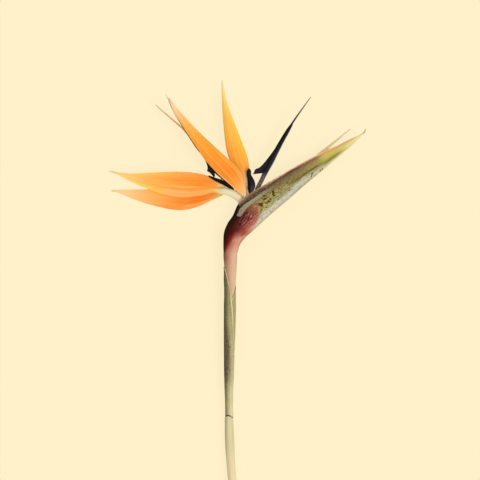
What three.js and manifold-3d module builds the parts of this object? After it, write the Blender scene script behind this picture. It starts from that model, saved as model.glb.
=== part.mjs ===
// A cut bird of paradise flower (Strelitzia reginae), lying on its side on a flat surface.
//
// Millimetres. The surface is z = 0. Seen from above, x runs to the right and y runs up the flower,
// from the cut end of the stalk to the tips of the sepals. Every point below is given on that
// drawing, measured from a point beside the neck. At the end the whole flower is moved so that
// its origin lies under the middle of its box.
import * as THREE from "three";
import Module from "manifold-3d";

// ---------------------------------------------------------------- driving dimensions
const GAP = 0.3; // clearance between two pieces that touch
const PETAL = 0.8; // thickness of a sepal
const DARK_PETAL = 0.7; // thickness of a blue petal
const SHEATH_WALL = 0.7;
const SPATHE_WALL = 1.2;
const SPATHE_AXIS_Z = 9.5; // height of the spathe's mid-plane
const CUT_END_Y = -236;
const CUT_END_RADIUS = 3.9;
const NODE_Y = -160.5; // the joint of the stalk where the sheath grows
const NECK_Y = -12; // where the spathe closes round the stalk
const SECTION_POINTS = 9; // points on each side of a stalk or spathe section
const EDGE_HALF = 0.15; // half the width of a section at its two ends
const DROP_LEAN = 0.75; // how far a drop-shaped section leans towards its keel: 1 is not at all
const DROP_FULLNESS = 0.7; // the less, the fuller it is
const FOLD_POWER = 1.4; // how sharp the keel of a sepal is: 1 is a straight V

// ---------------------------------------------------------------- closed solids from rows
// Joins rings of points into one closed surface. A ring runs along its upper side and back along
// its lower side, so point j lies across from point 2m-1-j. Both sides are split into triangles
// along the same diagonal. A closed band has no end faces: its last ring joins its first.
function loft(rings, closedBand = false) {
  const count = rings[0].length;
  const half = count / 2;
  const at = (ring, k) => (ring % rings.length) * count + (k % count);
  const faces = [];
  const steps = closedBand ? rings.length : rings.length - 1;
  for (let ring = 0; ring < steps; ring += 1) {
    for (let k = 0; k < count; k += 1) {
      const a = at(ring, k);
      const b = at(ring, k + 1);
      const c = at(ring + 1, k + 1);
      const d = at(ring + 1, k);
      if (k < half) faces.push(a, b, c, a, c, d);
      else faces.push(a, b, d, b, c, d);
    }
  }
  if (!closedBand) {
    const last = rings.length - 1;
    for (let j = 0; j < half - 1; j += 1) {
      const across = count - 1 - j;
      faces.push(at(0, j), at(0, across), at(0, j + 1));
      faces.push(at(0, j + 1), at(0, across), at(0, across - 1));
      faces.push(at(last, j), at(last, j + 1), at(last, across));
      faces.push(at(last, j + 1), at(last, across - 1), at(last, across));
    }
  }
  const geometry = new THREE.BufferGeometry();
  geometry.setFromPoints(rings.flat());
  geometry.setIndex(faces);
  if (signedVolume(geometry) < 0) {
    geometry.setIndex(faces.reverse());
  }
  return geometry;
}

function signedVolume(geometry) {
  const place = geometry.getAttribute("position");
  const index = geometry.getIndex();
  const corner = (k) => new THREE.Vector3().fromBufferAttribute(place, index.getX(k));
  let sum = 0;
  for (let k = 0; k < index.count; k += 3) {
    sum += corner(k).dot(corner(k + 1).cross(corner(k + 2)));
  }
  return sum / 6;
}

// A smooth curve through [x, y, z] points.
function curve(points) {
  return new THREE.CatmullRomCurve3(points.map((p) => new THREE.Vector3(...p)), false, "centripetal");
}

// A smooth value that passes through evenly spaced values as t goes from 0 to 1.
function profile(values) {
  const line = new THREE.CatmullRomCurve3(values.map((v) => new THREE.Vector3(v, 0, 0)), false, "catmullrom");
  return (t) => line.getPoint(t).x;
}

// ---------------------------------------------------------------- sepals and petals
// A blade between two edges, each a list of [x, y, z] from base to tip. The keel stands out of
// the plane of the edges by crown, which changes along the blade, at the share fold of its width.
function blade({ edges, crown, fold = 0.5, rows = 18, columns = 6, thickness = PETAL }) {
  const first = curve(edges[0]);
  const second = curve(edges[1]);
  const height = profile(crown);
  const middle = [];
  for (let i = 0; i <= rows; i += 1) {
    const t = i / rows;
    const from = first.getPointAt(t);
    const to = second.getPointAt(t);
    const across = to.clone().sub(from);
    const along = first.getTangentAt(t).add(second.getTangentAt(t));
    const out = new THREE.Vector3().crossVectors(across, along).normalize();
    const row = [];
    for (let j = 0; j <= columns; j += 1) {
      const u = j / columns;
      const away = u < fold ? (fold - u) / fold : (u - fold) / (1 - fold);
      const rise = height(t) * (1 - away ** FOLD_POWER);
      row.push(from.clone().addScaledVector(across, u).addScaledVector(out, rise));
    }
    middle.push(row);
  }
  const normalAt = (i, j) => {
    const ahead = middle[Math.min(i + 1, rows)][j].clone().sub(middle[Math.max(i - 1, 0)][j]);
    const side = middle[i][Math.min(j + 1, columns)].clone().sub(middle[i][Math.max(j - 1, 0)]);
    return side.cross(ahead).normalize();
  };
  const rings = middle.map((row, i) => {
    const upper = row.map((p, j) => p.clone().addScaledVector(normalAt(i, j), thickness / 2));
    const lower = row.map((p, j) => p.clone().addScaledVector(normalAt(i, j), -thickness / 2));
    return upper.concat(lower.reverse());
  });
  return loft(rings);
}

// A stem, tube or thread: [x, y, z, half width on the drawing, half depth in z] at each station.
function limb(stations, sides = 10, steps = 3) {
  const path = curve(stations.map((s) => s.slice(0, 3)));
  const width = profile(stations.map((s) => s[3]));
  const depth = profile(stations.map((s) => s[4]));
  const count = (stations.length - 1) * steps;
  const rings = [];
  for (let i = 0; i <= count; i += 1) {
    const t = i / count;
    const along = path.getTangent(t);
    const across = new THREE.Vector3(along.y, -along.x, 0).normalize();
    const up = new THREE.Vector3().crossVectors(across, along).normalize();
    const ring = [];
    for (let k = 0; k < sides; k += 1) {
      const angle = (Math.PI * (2 * k + 1)) / sides;
      const point = path.getPoint(t);
      point.addScaledVector(across, width(t) * Math.cos(angle));
      point.addScaledVector(up, depth(t) * Math.sin(angle));
      ring.push(point);
    }
    rings.push(ring);
  }
  return loft(rings);
}

// ---------------------------------------------------------------- joins and cuts
const wasm = await Module();
wasm.setup();

function toSolid(geometry) {
  const place = geometry.getAttribute("position");
  const vertProperties = new Float32Array(place.array);
  const triVerts = new Uint32Array(geometry.getIndex().array);
  return new wasm.Manifold(new wasm.Mesh({ numProp: 3, vertProperties, triVerts }));
}

function toGeometry(solid) {
  const mesh = solid.getMesh();
  const geometry = new THREE.BufferGeometry();
  geometry.setAttribute("position", new THREE.BufferAttribute(new Float32Array(mesh.vertProperties), 3));
  geometry.setIndex(new THREE.BufferAttribute(new Uint32Array(mesh.triVerts), 1));
  return geometry;
}

function joined(geometries) {
  return toGeometry(geometries.map(toSolid).reduce((all, next) => all.add(next)));
}

// ---------------------------------------------------------------- stalk and spathe sections
// A section from its keel side to its rim side, both on the drawing, with half its depth in z.
// round is 1 for an oval and 0 for the drop shape of the spathe, whose two lips stand lip apart
// from the mid-plane. inset shrinks the section all round, for the hollow inside it.
function section({ keel, rim, half, z, round = 1, lip = 0, inset = 0 }) {
  const across = rim.clone().sub(keel);
  const span = across.length();
  across.normalize();
  const from = keel.clone().addScaledVector(across, inset);
  const length = span - 2 * inset;
  const upper = [];
  const lower = [];
  for (let k = 0; k < SECTION_POINTS; k += 1) {
    const v = (1 - Math.cos((Math.PI * k) / (SECTION_POINTS - 1))) / 2;
    const oval = 2 * Math.sqrt(v * (1 - v));
    const drop = Math.sin(Math.PI * v ** DROP_LEAN) ** DROP_FULLNESS;
    const share = round * oval + (1 - round) * drop;
    const least = v > 0.5 ? Math.max(lip - inset, EDGE_HALF) : EDGE_HALF;
    const reach = Math.max((half - inset) * share, least);
    const point = from.clone().addScaledVector(across, length * v);
    upper.push(new THREE.Vector3(point.x, point.y, z + reach));
    lower.push(new THREE.Vector3(point.x, point.y, z - reach));
  }
  return upper.concat(lower.reverse());
}

// ---------------------------------------------------------------- the spathe
// The boat-shaped bract that closes round the neck and holds the flowers. Each station has a
// point on the rim (or on the back of the neck), one on the keel, half its depth, the half width
// of the slit between its lips, and how round it is.
const SPATHE = [
  { rim: [-14.9, -12], keel: [-2.4, -12], half: 6.2, slit: 0, round: 1 },
  { rim: [-15, -3.4], keel: [0.6, -4], half: 6.8, slit: 0, round: 1 },
  { rim: [-13.9, 6.9], keel: [5.2, 3.2], half: 7.8, slit: 0, round: 0.9 },
  { rim: [-9.9, 14.9], keel: [10.4, 8.8], half: 8.7, slit: 0, round: 0.8 },
  { rim: [-5.3, 21.9], keel: [17.6, 14.9], half: 9.4, slit: 0.5, round: 0.6 },
  { rim: [-1.4, 33.2], keel: [25.2, 21.2], half: 9.8, slit: 4.2, round: 0.5 },
  { rim: [5.3, 39.6], keel: [31.5, 26.5], half: 9.8, slit: 5, round: 0.4 },
  { rim: [18.6, 46.6], keel: [38.2, 32], half: 9.5, slit: 4.4, round: 0.2 },
  { rim: [28.6, 55.3], keel: [44.9, 37.6], half: 8.8, slit: 2.4, round: 0 },
  { rim: [40.4, 62], keel: [54.2, 46], half: 7.7, slit: 1.4, round: 0 },
  { rim: [52.3, 68.7], keel: [63.5, 54.1], half: 6.5, slit: 1.3, round: 0 },
  { rim: [64.3, 75], keel: [73, 61.8], half: 5.2, slit: 1.3, round: 0 },
  { rim: [77.8, 79.6], keel: [83.5, 71], half: 3.8, slit: 1, round: 0 },
  { rim: [88.8, 84.8], keel: [92.6, 78.8], half: 2.6, slit: 0.7, round: 0 },
  { rim: [99.4, 90.1], keel: [102, 86.9], half: 1.6, slit: 0.4, round: 0.3 },
  { rim: [106.4, 94], keel: [107.9, 92.3], half: 1, slit: 0, round: 0.8 },
  { rim: [111.6, 97.6], keel: [112.6, 96.9], half: 0.7, slit: 0, round: 1 },
  { rim: [112.8, 100.1], keel: [113.7, 99.9], half: 0.5, slit: 0, round: 1 },
];
const CORE_END = 3.6; // the station, counted from 0, where the stalk ends inside the spathe
const SLIT_START = 4.5; // the station where the slit opens
const HOLLOW_END = 13.2; // the station past which the spathe's tip is solid
const SLIT_END = 13.6;
const SLIT_DEPTH = 3.6; // how far below the rim the slit is cut
const SLIT_CLEAR = 4; // how far above it the cut begins
const LEAST_SLIT = 0.2; // half the slit's least width
const OUTER_STEP = 0.5; // stations from one ring to the next, outside and in the hollow
const INNER_STEP = 0.6;
const SURFACE = 400; // side of the block that stands for the surface below
const SURFACE_DEPTH = 4;

const spatheRim = curve(SPATHE.map((s) => [...s.rim, 0]));
const spatheKeel = curve(SPATHE.map((s) => [...s.keel, 0]));
const spatheHalf = profile(SPATHE.map((s) => s.half));
const spatheSlit = profile(SPATHE.map((s) => s.slit));
const spatheRound = profile(SPATHE.map((s) => s.round));

function spatheSection(station, inset) {
  const t = THREE.MathUtils.clamp(station / (SPATHE.length - 1), 0, 1);
  const slit = Math.max(spatheSlit(t), 0);
  return section({
    keel: spatheKeel.getPoint(t),
    rim: spatheRim.getPoint(t),
    half: spatheHalf(t),
    z: SPATHE_AXIS_Z,
    round: spatheRound(t),
    lip: station > SLIT_START ? slit + SPATHE_WALL : 0,
    inset,
  });
}

function stationsBetween(first, last, step) {
  const count = Math.round((last - first) / step);
  return Array.from({ length: count + 1 }, (_, i) => first + ((last - first) * i) / count);
}

function makeSpathe() {
  const outside = loft(stationsBetween(0, SPATHE.length - 1, OUTER_STEP).map((s) => spatheSection(s, 0)));
  const hollowRings = stationsBetween(0, HOLLOW_END, INNER_STEP).map((s) => spatheSection(s, SPATHE_WALL));
  const below = hollowRings[0].map((point) => point.clone().setY(NECK_Y - 1));
  const hollow = loft([below, ...hollowRings]);
  // The slit is cut by a wedge that follows the rim, as wide as the slit and open above it.
  const wedge = loft(
    stationsBetween(SLIT_START, SLIT_END, OUTER_STEP).map((s) => {
      const t = s / (SPATHE.length - 1);
      const rim = spatheRim.getPoint(t);
      const keel = spatheKeel.getPoint(t);
      const out = rim.clone().sub(keel).normalize();
      const reach = Math.max(spatheSlit(t), LEAST_SLIT);
      const low = rim.clone().addScaledVector(out, -SLIT_DEPTH);
      const high = rim.clone().addScaledVector(out, SLIT_CLEAR);
      const corner = (p, side) => new THREE.Vector3(p.x, p.y, SPATHE_AXIS_Z + side * reach);
      return [corner(low, 1), corner(high, 1), corner(high, -1), corner(low, -1)];
    }),
  );
  const surface = new THREE.BoxGeometry(SURFACE, SURFACE, SURFACE_DEPTH);
  surface.translate(0, 0, -SURFACE_DEPTH / 2);
  const cutters = [toSolid(hollow), toSolid(wedge), boxSolid(surface)];
  return toGeometry(cutters.reduce((left, cutter) => left.subtract(cutter), toSolid(outside)));
}

// A box geometry has its own corners on each face, so they are merged by place first.
function boxSolid(box) {
  const place = box.getAttribute("position");
  const seen = new Map();
  const points = [];
  const merged = [];
  for (let i = 0; i < place.count; i += 1) {
    const point = new THREE.Vector3().fromBufferAttribute(place, i);
    const key = point.toArray().join(" ");
    if (!seen.has(key)) {
      seen.set(key, points.length);
      points.push(point);
    }
    merged.push(seen.get(key));
  }
  const geometry = new THREE.BufferGeometry().setFromPoints(points);
  geometry.setIndex(Array.from(box.getIndex().array, (k) => merged[k]));
  return toSolid(geometry);
}

// ---------------------------------------------------------------- the stalk and its sheath
// [x, y, radius] along the stalk. Above the joint it is thinner by the sheath that wraps it.
const BARE_STALK = [
  [-4.7, CUT_END_Y, CUT_END_RADIUS],
  [-6.4, -216, 3.95],
  [-8.3, -192.6, 4.2],
  [-9.3, -179, 4.15],
  [-9.8, -166, 3.85],
  [-9.9, NODE_Y - 1, 3.8],
];
const WRAPPED_STALK = [
  [-9.9, NODE_Y, 2.75],
  [-9.9, -137.7, 2.8],
  [-9.7, -119.7, 3.3],
  [-9.2, -82.8, 4.2],
  [-9.1, -56, 4.5],
  [-9, -44, 4.6],
  [-8.7, -36, 5.1],
  [-8.5, -28, 5.4],
  [-8.6, -22.5, 5.7],
  [-8.7, -17, 6.1],
  [-8.65, NECK_Y - GAP, 6.2],
];

// The stalk's axis climbs evenly from the cut end, which lies on the surface, to the spathe.
function axisHeight(y) {
  return THREE.MathUtils.mapLinear(y, CUT_END_Y, NECK_Y, CUT_END_RADIUS, SPATHE_AXIS_Z);
}

function stalkSection([x, y, radius]) {
  return section({
    keel: new THREE.Vector3(x + radius, y, 0),
    rim: new THREE.Vector3(x - radius, y, 0),
    half: radius,
    z: axisHeight(y),
  });
}

function makeStalk() {
  const rings = [...BARE_STALK, ...WRAPPED_STALK].map(stalkSection);
  const core = stationsBetween(0, CORE_END, INNER_STEP).map((s) => spatheSection(s, SPATHE_WALL + GAP));
  const shoulder = core[0].map((point) => point.clone().setY(NECK_Y - GAP));
  return loft([...rings, shoulder, ...core]);
}

// How far up the sheath reaches at each angle round the stalk. Its tip is on the left, and its
// two margins meet in a V on the front, right of the middle.
const SHEATH_TIP_Y = -23.4;
const SHEATH_V_Y = -51.7;
const SHEATH_RIGHT_Y = -42.8;
const SHEATH_V_ANGLE = Math.PI / 3;

function sheathTop(angle) {
  const share = (Math.cos(angle) + 1) / 2;
  const vShare = (Math.cos(SHEATH_V_ANGLE) + 1) / 2;
  if (angle >= SHEATH_V_ANGLE && angle <= Math.PI) {
    return THREE.MathUtils.lerp(SHEATH_TIP_Y, SHEATH_V_Y, share / vShare);
  }
  if (angle < SHEATH_V_ANGLE) {
    return THREE.MathUtils.lerp(SHEATH_RIGHT_Y, SHEATH_V_Y, angle / SHEATH_V_ANGLE);
  }
  return THREE.MathUtils.lerp(SHEATH_TIP_Y, SHEATH_RIGHT_Y, share);
}

function makeSheath() {
  const places = curve(WRAPPED_STALK.map(([x, y, radius]) => [x, y, radius]));
  const stalkAt = (y) => {
    let low = 0;
    let high = 1;
    for (let i = 0; i < 30; i += 1) {
      const t = (low + high) / 2;
      if (places.getPoint(t).y < y) low = t;
      else high = t;
    }
    return places.getPoint(low);
  };
  const columns = 24;
  const rows = 12;
  const ringAt = (share, extra) =>
    Array.from({ length: columns }, (_, j) => {
      const angle = (2 * Math.PI * j) / columns;
      const y = THREE.MathUtils.lerp(NODE_Y + GAP, sheathTop(angle), share);
      const stalk = stalkAt(y);
      const radius = stalk.z + GAP + extra;
      const x = stalk.x + radius * Math.cos(angle);
      return new THREE.Vector3(x, y, axisHeight(y) + radius * Math.sin(angle));
    });
  const shares = Array.from({ length: rows + 1 }, (_, i) => i / rows);
  const outside = shares.map((share) => ringAt(share, SHEATH_WALL));
  const inside = shares.map((share) => ringAt(share, 0)).reverse();
  return loft([...outside, ...inside], true);
}

// ---------------------------------------------------------------- the first floret, on the left
const FIRST_Z = 8.8; // height of the first floret's tube where its sepals spread

function makeFirstTube() {
  return limb([
    [0.4, 17.6, SPATHE_AXIS_Z, 2.4, 2.4],
    [1.8, 25, SPATHE_AXIS_Z, 2.5, 2.6],
    [2.3, 31, SPATHE_AXIS_Z, 2.9, 2.9],
    [0.75, 36, 9.2, 3.5, 3.1],
    [-3.1, 39.9, 9, 3.8, 3.2],
    [-7.8, 42.5, FIRST_Z, 3.7, 3.3],
    [-11.5, 43.7, FIRST_Z, 3.5, 3.3],
    [-14, 43.9, FIRST_Z, 3.4, 3.3],
  ], 14, 2);
}

function makeUpperSepal() {
  return blade({
    edges: [
      [
        [-14.5, 46.6, 10.2],
        [-20, 51, 11],
        [-28.1, 56.7, 12.2],
        [-37.2, 58.9, 13],
        [-50, 60.7, 13.4],
        [-60, 61.4, 13.2],
        [-72, 61, 12.6],
        [-84, 60.4, 11.8],
        [-97, 60, 10.8],
        [-110, 60.7, 9.6],
        [-117.7, 62.7, 9],
      ],
      [
        [-14.5, 41.9, 10],
        [-23, 42.8, 9.8],
        [-32.9, 40.8, 9.3],
        [-45.8, 38.7, 9],
        [-56, 38.8, 9],
        [-70.6, 41.5, 9.2],
        [-81.5, 45.6, 9.6],
        [-91, 49.2, 9.8],
        [-100.7, 53.7, 9.6],
        [-109, 58.4, 9.3],
        [-117.5, 61.8, 9],
      ],
    ],
    crown: [0.8, 1.4, 2.4, 2.6, 2, 1.2, 0.3],
    fold: 0.42,
  });
}

function makeLowerSepal() {
  const geometry = blade({
    edges: [
      [
        [-14.5, 44.6, 6.9],
        [-24, 47, 6.9],
        [-37, 48.6, 6.4],
        [-52, 49.4, 5.8],
        [-66, 48.3, 5.2],
        [-81.5, 45.9, 4.6],
        [-98.7, 45.4, 3.8],
        [-109, 45.1, 3.4],
        [-116, 44.8, 3.2],
      ],
      [
        [-14.5, 41.2, 6.8],
        [-17.8, 39.9, 6.3],
        [-24.2, 37.4, 5.2],
        [-30.2, 34.3, 3.8],
        [-37.2, 31.3, 2.4],
        [-45.8, 28.6, 1.2],
        [-55, 27.6, 0.7],
        [-64.5, 28, 0.6],
        [-82.6, 32.4, 1.2],
        [-93.1, 35.8, 1.8],
        [-102.7, 39.7, 2.5],
        [-110.8, 43, 3],
        [-116, 43.9, 3.2],
      ],
    ],
    crown: [0.4, 1.2, 1.8, 2, 1.6, 1, 0.3],
    fold: 0.55,
  });
  // Its lowest point is one of the three that the flower lies on.
  geometry.computeBoundingBox();
  geometry.translate(0, 0, -geometry.boundingBox.min.z);
  return geometry;
}

// The third sepal stands on edge behind the others, so its edges lie above one another.
function makeEdgeSepal() {
  const path = [
    [-14.7, 46.2, 7.9, 9],
    [-15.4, 50, 6.8, 9.4],
    [-16.6, 54.5, 5.4, 9.8],
    [-19.8, 60, 4.6, 10.2],
    [-24, 66.5, 3.8, 10.7],
    [-29, 72.8, 3.2, 11],
    [-34.5, 79.5, 2.8, 11.2],
    [-43, 90.5, 2.6, 11.2],
    [-50.5, 100.2, 3, 10.8],
    [-57.2, 106.6, 3.7, 10.2],
    [-64.9, 112.9, 4.8, 9.4],
    [-71, 117.8, 5.9, 8.4],
    [-76, 122, 6.8, 7.6],
  ];
  return blade({
    edges: [path.map(([x, y, low]) => [x, y, low]), path.map(([x, y, , high]) => [x, y, high])],
    crown: [-0.2, -0.6, -1.2, -1.3, -1.2, -0.8, -0.2],
  });
}

// The small petal that lies on the upper sepal's base as a dark strip.
function makeFirstHood() {
  return blade({
    edges: [
      [
        [-6.4, 47.4, 13.2],
        [-11, 51, 13.5],
        [-16.7, 54.2, 13.6],
        [-23.7, 56.5, 14.2],
        [-28.2, 58.2, 14.6],
      ],
      [
        [-7.4, 45.5, 12.6],
        [-12.5, 47.5, 13],
        [-19.4, 51.3, 13.4],
        [-25.4, 55.4, 14.1],
        [-28.4, 57.3, 14.5],
      ],
    ],
    crown: [0.2, 0.5, 0.6, 0.5, 0.2],
    rows: 10,
    columns: 4,
    thickness: DARK_PETAL,
  });
}

// An arrow: two blue petals folded round the style. A stem, two flaps that point backwards where
// the petals open, and the style, which runs on past them as a thread. The flaps part by spread.
const FLAP_APART = 0.4; // half the distance between the two flaps at their roots

function arrow({ stem, thread, root, rim, spread }) {
  const shaft = limb(stem, 10);
  const style = limb(thread, 6);
  const parted = (i) => FLAP_APART + spread * Math.sin((Math.PI * (i + 1)) / rim.length);
  const flaps = [1, -1].map((side) =>
    blade({
      edges: [
        root.map(([x, y, z]) => [x, y, z + side * FLAP_APART]),
        rim.map(([x, y, z], i) => [x, y, z + side * parted(i)]),
      ],
      crown: [0.2, 0.3, 0.2],
      rows: 9,
      columns: 3,
      thickness: DARK_PETAL,
    }),
  );
  return joined([shaft, style, ...flaps]);
}

function makeFirstArrow() {
  return arrow({
    stem: [
      [-7, 47.3, 10.6, 1.1, 1.1],
      [-11.5, 52, 11.8, 1.2, 1.2],
      [-16.8, 57, 12.5, 1.4, 1.2],
      [-21.5, 61.5, 12.8, 1.9, 1.3],
      [-26, 66.8, 13, 2.1, 1.3],
      [-30.2, 72.8, 13.3, 1.6, 1.1],
      [-34, 77.5, 13.8, 0.9, 0.8],
    ],
    thread: [
      [-32.6, 75.6, 13.6, 0.8, 0.7],
      [-38.6, 80.6, 14.4, 0.75, 0.7],
      [-46.8, 93, 16.2, 0.65, 0.6],
      [-54.5, 105.3, 18.4, 0.55, 0.5],
      [-62.4, 119, 21, 0.45, 0.45],
      [-66.6, 130.3, 23, 0.35, 0.35],
    ],
    root: [
      [-20.2, 60, 12.6],
      [-24.5, 65, 12.9],
      [-31, 73.6, 13.3],
    ],
    rim: [
      [-24, 57, 12.6],
      [-27.2, 60.4, 12.7],
      [-29.4, 61.6, 12.8],
      [-28.9, 65, 13],
      [-30.6, 69.4, 13.2],
      [-32.6, 74, 13.4],
    ],
    spread: 0.9,
  });
}

// ---------------------------------------------------------------- the second floret
const CLAW_Y = 33.4; // where its sepals and petals leave its tube, inside the spathe

function makeSecondTube() {
  return limb([
    [6.2, 16.2, SPATHE_AXIS_Z, 2.3, 2.4],
    [7.9, 23, SPATHE_AXIS_Z, 2.5, 2.9],
    [9.6, 29.5, SPATHE_AXIS_Z, 2.9, 3.3],
    [9.8, CLAW_Y - 0.7, SPATHE_AXIS_Z, 3, 3.4],
    [9.8, CLAW_Y - GAP, SPATHE_AXIS_Z, 3, 3.4],
  ], 12, 2);
}

function makeFrontSepal() {
  return blade({
    edges: [
      [
        [7, CLAW_Y + 0.3, 11.2],
        [3.9, 38.7, 13.2],
        [0, 41.9, 14.4],
        [-6, 46.9, 15.8],
        [-10.8, 51.2, 16.6],
        [-16.7, 56.2, 17.2],
        [-22.6, 62, 17.7],
        [-32.3, 73, 18.8],
        [-38.6, 80.2, 20],
        [-45.6, 91.2, 21.6],
        [-53.3, 104, 23.6],
        [-60.2, 116, 25.6],
        [-63.9, 127.2, 27.6],
      ],
      [
        [9.1, CLAW_Y + 0.3, 11.2],
        [5.8, 39.6, 13.2],
        [5, 47.3, 14.4],
        [3.2, 54.2, 14.9],
        [0, 61.8, 15.2],
        [-4.3, 68, 15.5],
        [-10.7, 74, 16],
        [-20.5, 83, 17.2],
        [-30.2, 91.9, 19],
        [-39.9, 101.4, 21.4],
        [-48.8, 111, 24],
        [-56.6, 119.6, 26],
        [-63, 127.5, 27.6],
      ],
    ],
    crown: [0.3, 0.8, 1.8, 2.6, 2.8, 2.4, 1.6, 0.8, 0.2],
    fold: 0.34,
    rows: 22,
  });
}

function makeTallSepal() {
  return blade({
    edges: [
      [
        [7.6, CLAW_Y, 8.3],
        [4.6, 41.5, 8.2],
        [0, 52, 8],
        [-5, 62, 8.2],
        [-9.4, 72, 8.6],
        [-11.9, 80, 9],
        [-13.6, 91, 9.6],
        [-14.9, 104, 10.2],
        [-15.9, 118, 10.8],
        [-16.4, 131.4, 11.4],
        [-16.4, 143.9, 12],
      ],
      [
        [10, CLAW_Y, 8.3],
        [8.4, 43, 8.2],
        [8.4, 54, 8],
        [8.5, 64.5, 8.1],
        [6.8, 74.3, 8.4],
        [4.4, 81.5, 8.8],
        [-0.4, 93.5, 9.6],
        [-5.3, 106.4, 10.4],
        [-10.1, 119.3, 11.2],
        [-13.7, 132.3, 11.8],
        [-15.8, 144, 12],
      ],
    ],
    crown: [0.2, 0.6, 1.6, 2.4, 2.4, 1.8, 1, 0.3],
    fold: 0.55,
    rows: 20,
  });
}

// The third sepal of this floret lies under the other two.
function makeHiddenSepal() {
  return blade({
    edges: [
      [
        [7.4, CLAW_Y, 6.6],
        [4, 42, 5.9],
        [-5, 51.4, 5.2],
        [-13.6, 60, 4.6],
        [-23, 71, 4.2],
        [-32.5, 83, 4.2],
        [-42.4, 97.8, 5],
      ],
      [
        [9.8, CLAW_Y, 6.6],
        [6.8, 43, 5.9],
        [2, 54, 5.2],
        [-5, 64, 4.8],
        [-14.4, 75, 4.6],
        [-26.4, 87, 4.6],
        [-41.6, 98.3, 5],
      ],
    ],
    crown: [-0.1, -0.4, -1.2, -1.6, -1.4, -0.8, -0.2],
    rows: 14,
  });
}

function makeSecondHood() {
  return blade({
    edges: [
      [
        [10.1, CLAW_Y, 12],
        [8.4, 41, 12.6],
        [7.3, 46, 13],
        [6.5, 53, 13.4],
        [6.4, 58, 13.8],
        [6.8, 62, 14.1],
        [8, 64.3, 14.2],
      ],
      [
        [11.7, CLAW_Y, 12],
        [12.2, 41, 12.6],
        [13.3, 47.5, 12.8],
        [13.2, 52.4, 13],
        [11.6, 55.8, 13.3],
        [10.2, 59, 13.7],
        [9.4, 64, 14.1],
      ],
    ],
    crown: [0.1, 0.6, 1.3, 1.2, 0.8, 0.3],
    rows: 12,
    thickness: DARK_PETAL,
  });
}

function makeSecondArrow() {
  return arrow({
    stem: [
      [11.5, CLAW_Y + 0.3, 9.3, 1.2, 1.2],
      [13.8, 39.5, 9.6, 1.5, 1.5],
      [16.8, 46.2, 10, 1.75, 1.8],
      [20.2, 53.6, 10.3, 2, 2],
      [24, 62, 10.6, 2.4, 2.2],
      [28, 70.8, 11, 2.9, 2.2],
      [32.6, 80.4, 11.6, 2.7, 2],
      [38, 90.4, 12.4, 2.45, 1.8],
      [43, 98.8, 13.2, 2, 1.5],
      [46.6, 104.6, 13.8, 1, 0.9],
    ],
    thread: [
      [45.6, 103, 13.6, 0.9, 0.8],
      [50.6, 110.4, 14.6, 0.8, 0.75],
      [57, 119.4, 16, 0.6, 0.6],
      [63.6, 128.5, 17.4, 0.35, 0.35],
    ],
    root: [
      [22.4, 60.3, 10.5],
      [25.4, 67, 10.9],
      [30, 77.4, 11.3],
    ],
    rim: [
      [11.2, 59.3, 10.5],
      [13.2, 63, 10.6],
      [17.3, 65, 10.8],
      [21.4, 69.1, 11],
      [27.6, 77, 11.3],
    ],
    spread: 1.5,
  });
}

// ---------------------------------------------------------------- the bud still in the spathe
function makeBud() {
  return limb([
    [12.2, 14.8, SPATHE_AXIS_Z, 1.2, 1.2],
    [24, 29, SPATHE_AXIS_Z, 2.2, 2.2],
    [36, 42.6, SPATHE_AXIS_Z, 3, 2.8],
    [48, 55.2, SPATHE_AXIS_Z, 2.6, 2.4],
    [59, 66.4, SPATHE_AXIS_Z, 1.7, 1.4],
    [68, 75.4, SPATHE_AXIS_Z, 1, 0.8],
    [84, 87.9, SPATHE_AXIS_Z, 0.75, 0.7],
    [99.4, 100.1, SPATHE_AXIS_Z, 0.35, 0.35],
  ], 8);
}

// ---------------------------------------------------------------- the flower
const FINISHES = {
  stalk: { color: 0xd6a585, roughness: 0.5 },
  sheath: { color: 0x8f8a58, roughness: 0.6 },
  spathe: { color: 0x968a58, roughness: 0.5 },
  cream: { color: 0xe9dcb0, roughness: 0.5 },
  orange: { color: 0xf79a32, roughness: 0.45 },
  blue: { color: 0x26223c, roughness: 0.45 },
  bud: { color: 0xc4ae62, roughness: 0.5 },
};

const PIECES = [
  ["stalk", makeStalk, "stalk"],
  ["stalk_sheath", makeSheath, "sheath"],
  ["spathe", makeSpathe, "spathe"],
  ["first_floret_tube", makeFirstTube, "cream"],
  ["first_sepal_upper", makeUpperSepal, "orange"],
  ["first_sepal_lower", makeLowerSepal, "orange"],
  ["first_sepal_on_edge", makeEdgeSepal, "orange"],
  ["first_petal_hood", makeFirstHood, "blue"],
  ["first_petals_arrow", makeFirstArrow, "blue"],
  ["second_floret_tube", makeSecondTube, "cream"],
  ["second_sepal_front", makeFrontSepal, "orange"],
  ["second_sepal_tall", makeTallSepal, "orange"],
  ["second_sepal_hidden", makeHiddenSepal, "orange"],
  ["second_petal_hood", makeSecondHood, "blue"],
  ["second_petals_arrow", makeSecondArrow, "blue"],
  ["unopened_bud", makeBud, "bud"],
];

const flower = new THREE.Group();
for (const [name, make, finish] of PIECES) {
  const material = new THREE.MeshStandardMaterial({ ...FINISHES[finish], metalness: 0 });
  const mesh = new THREE.Mesh(make(), material);
  mesh.name = name;
  flower.add(mesh);
}

const box = new THREE.Box3().setFromObject(flower);
const middle = box.getCenter(new THREE.Vector3());
flower.position.set(-middle.x, -middle.y, -box.min.z);

export default flower;
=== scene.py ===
import math

import bmesh
import bpy
import numpy as np
from mathutils import Matrix, Vector, noise


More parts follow.
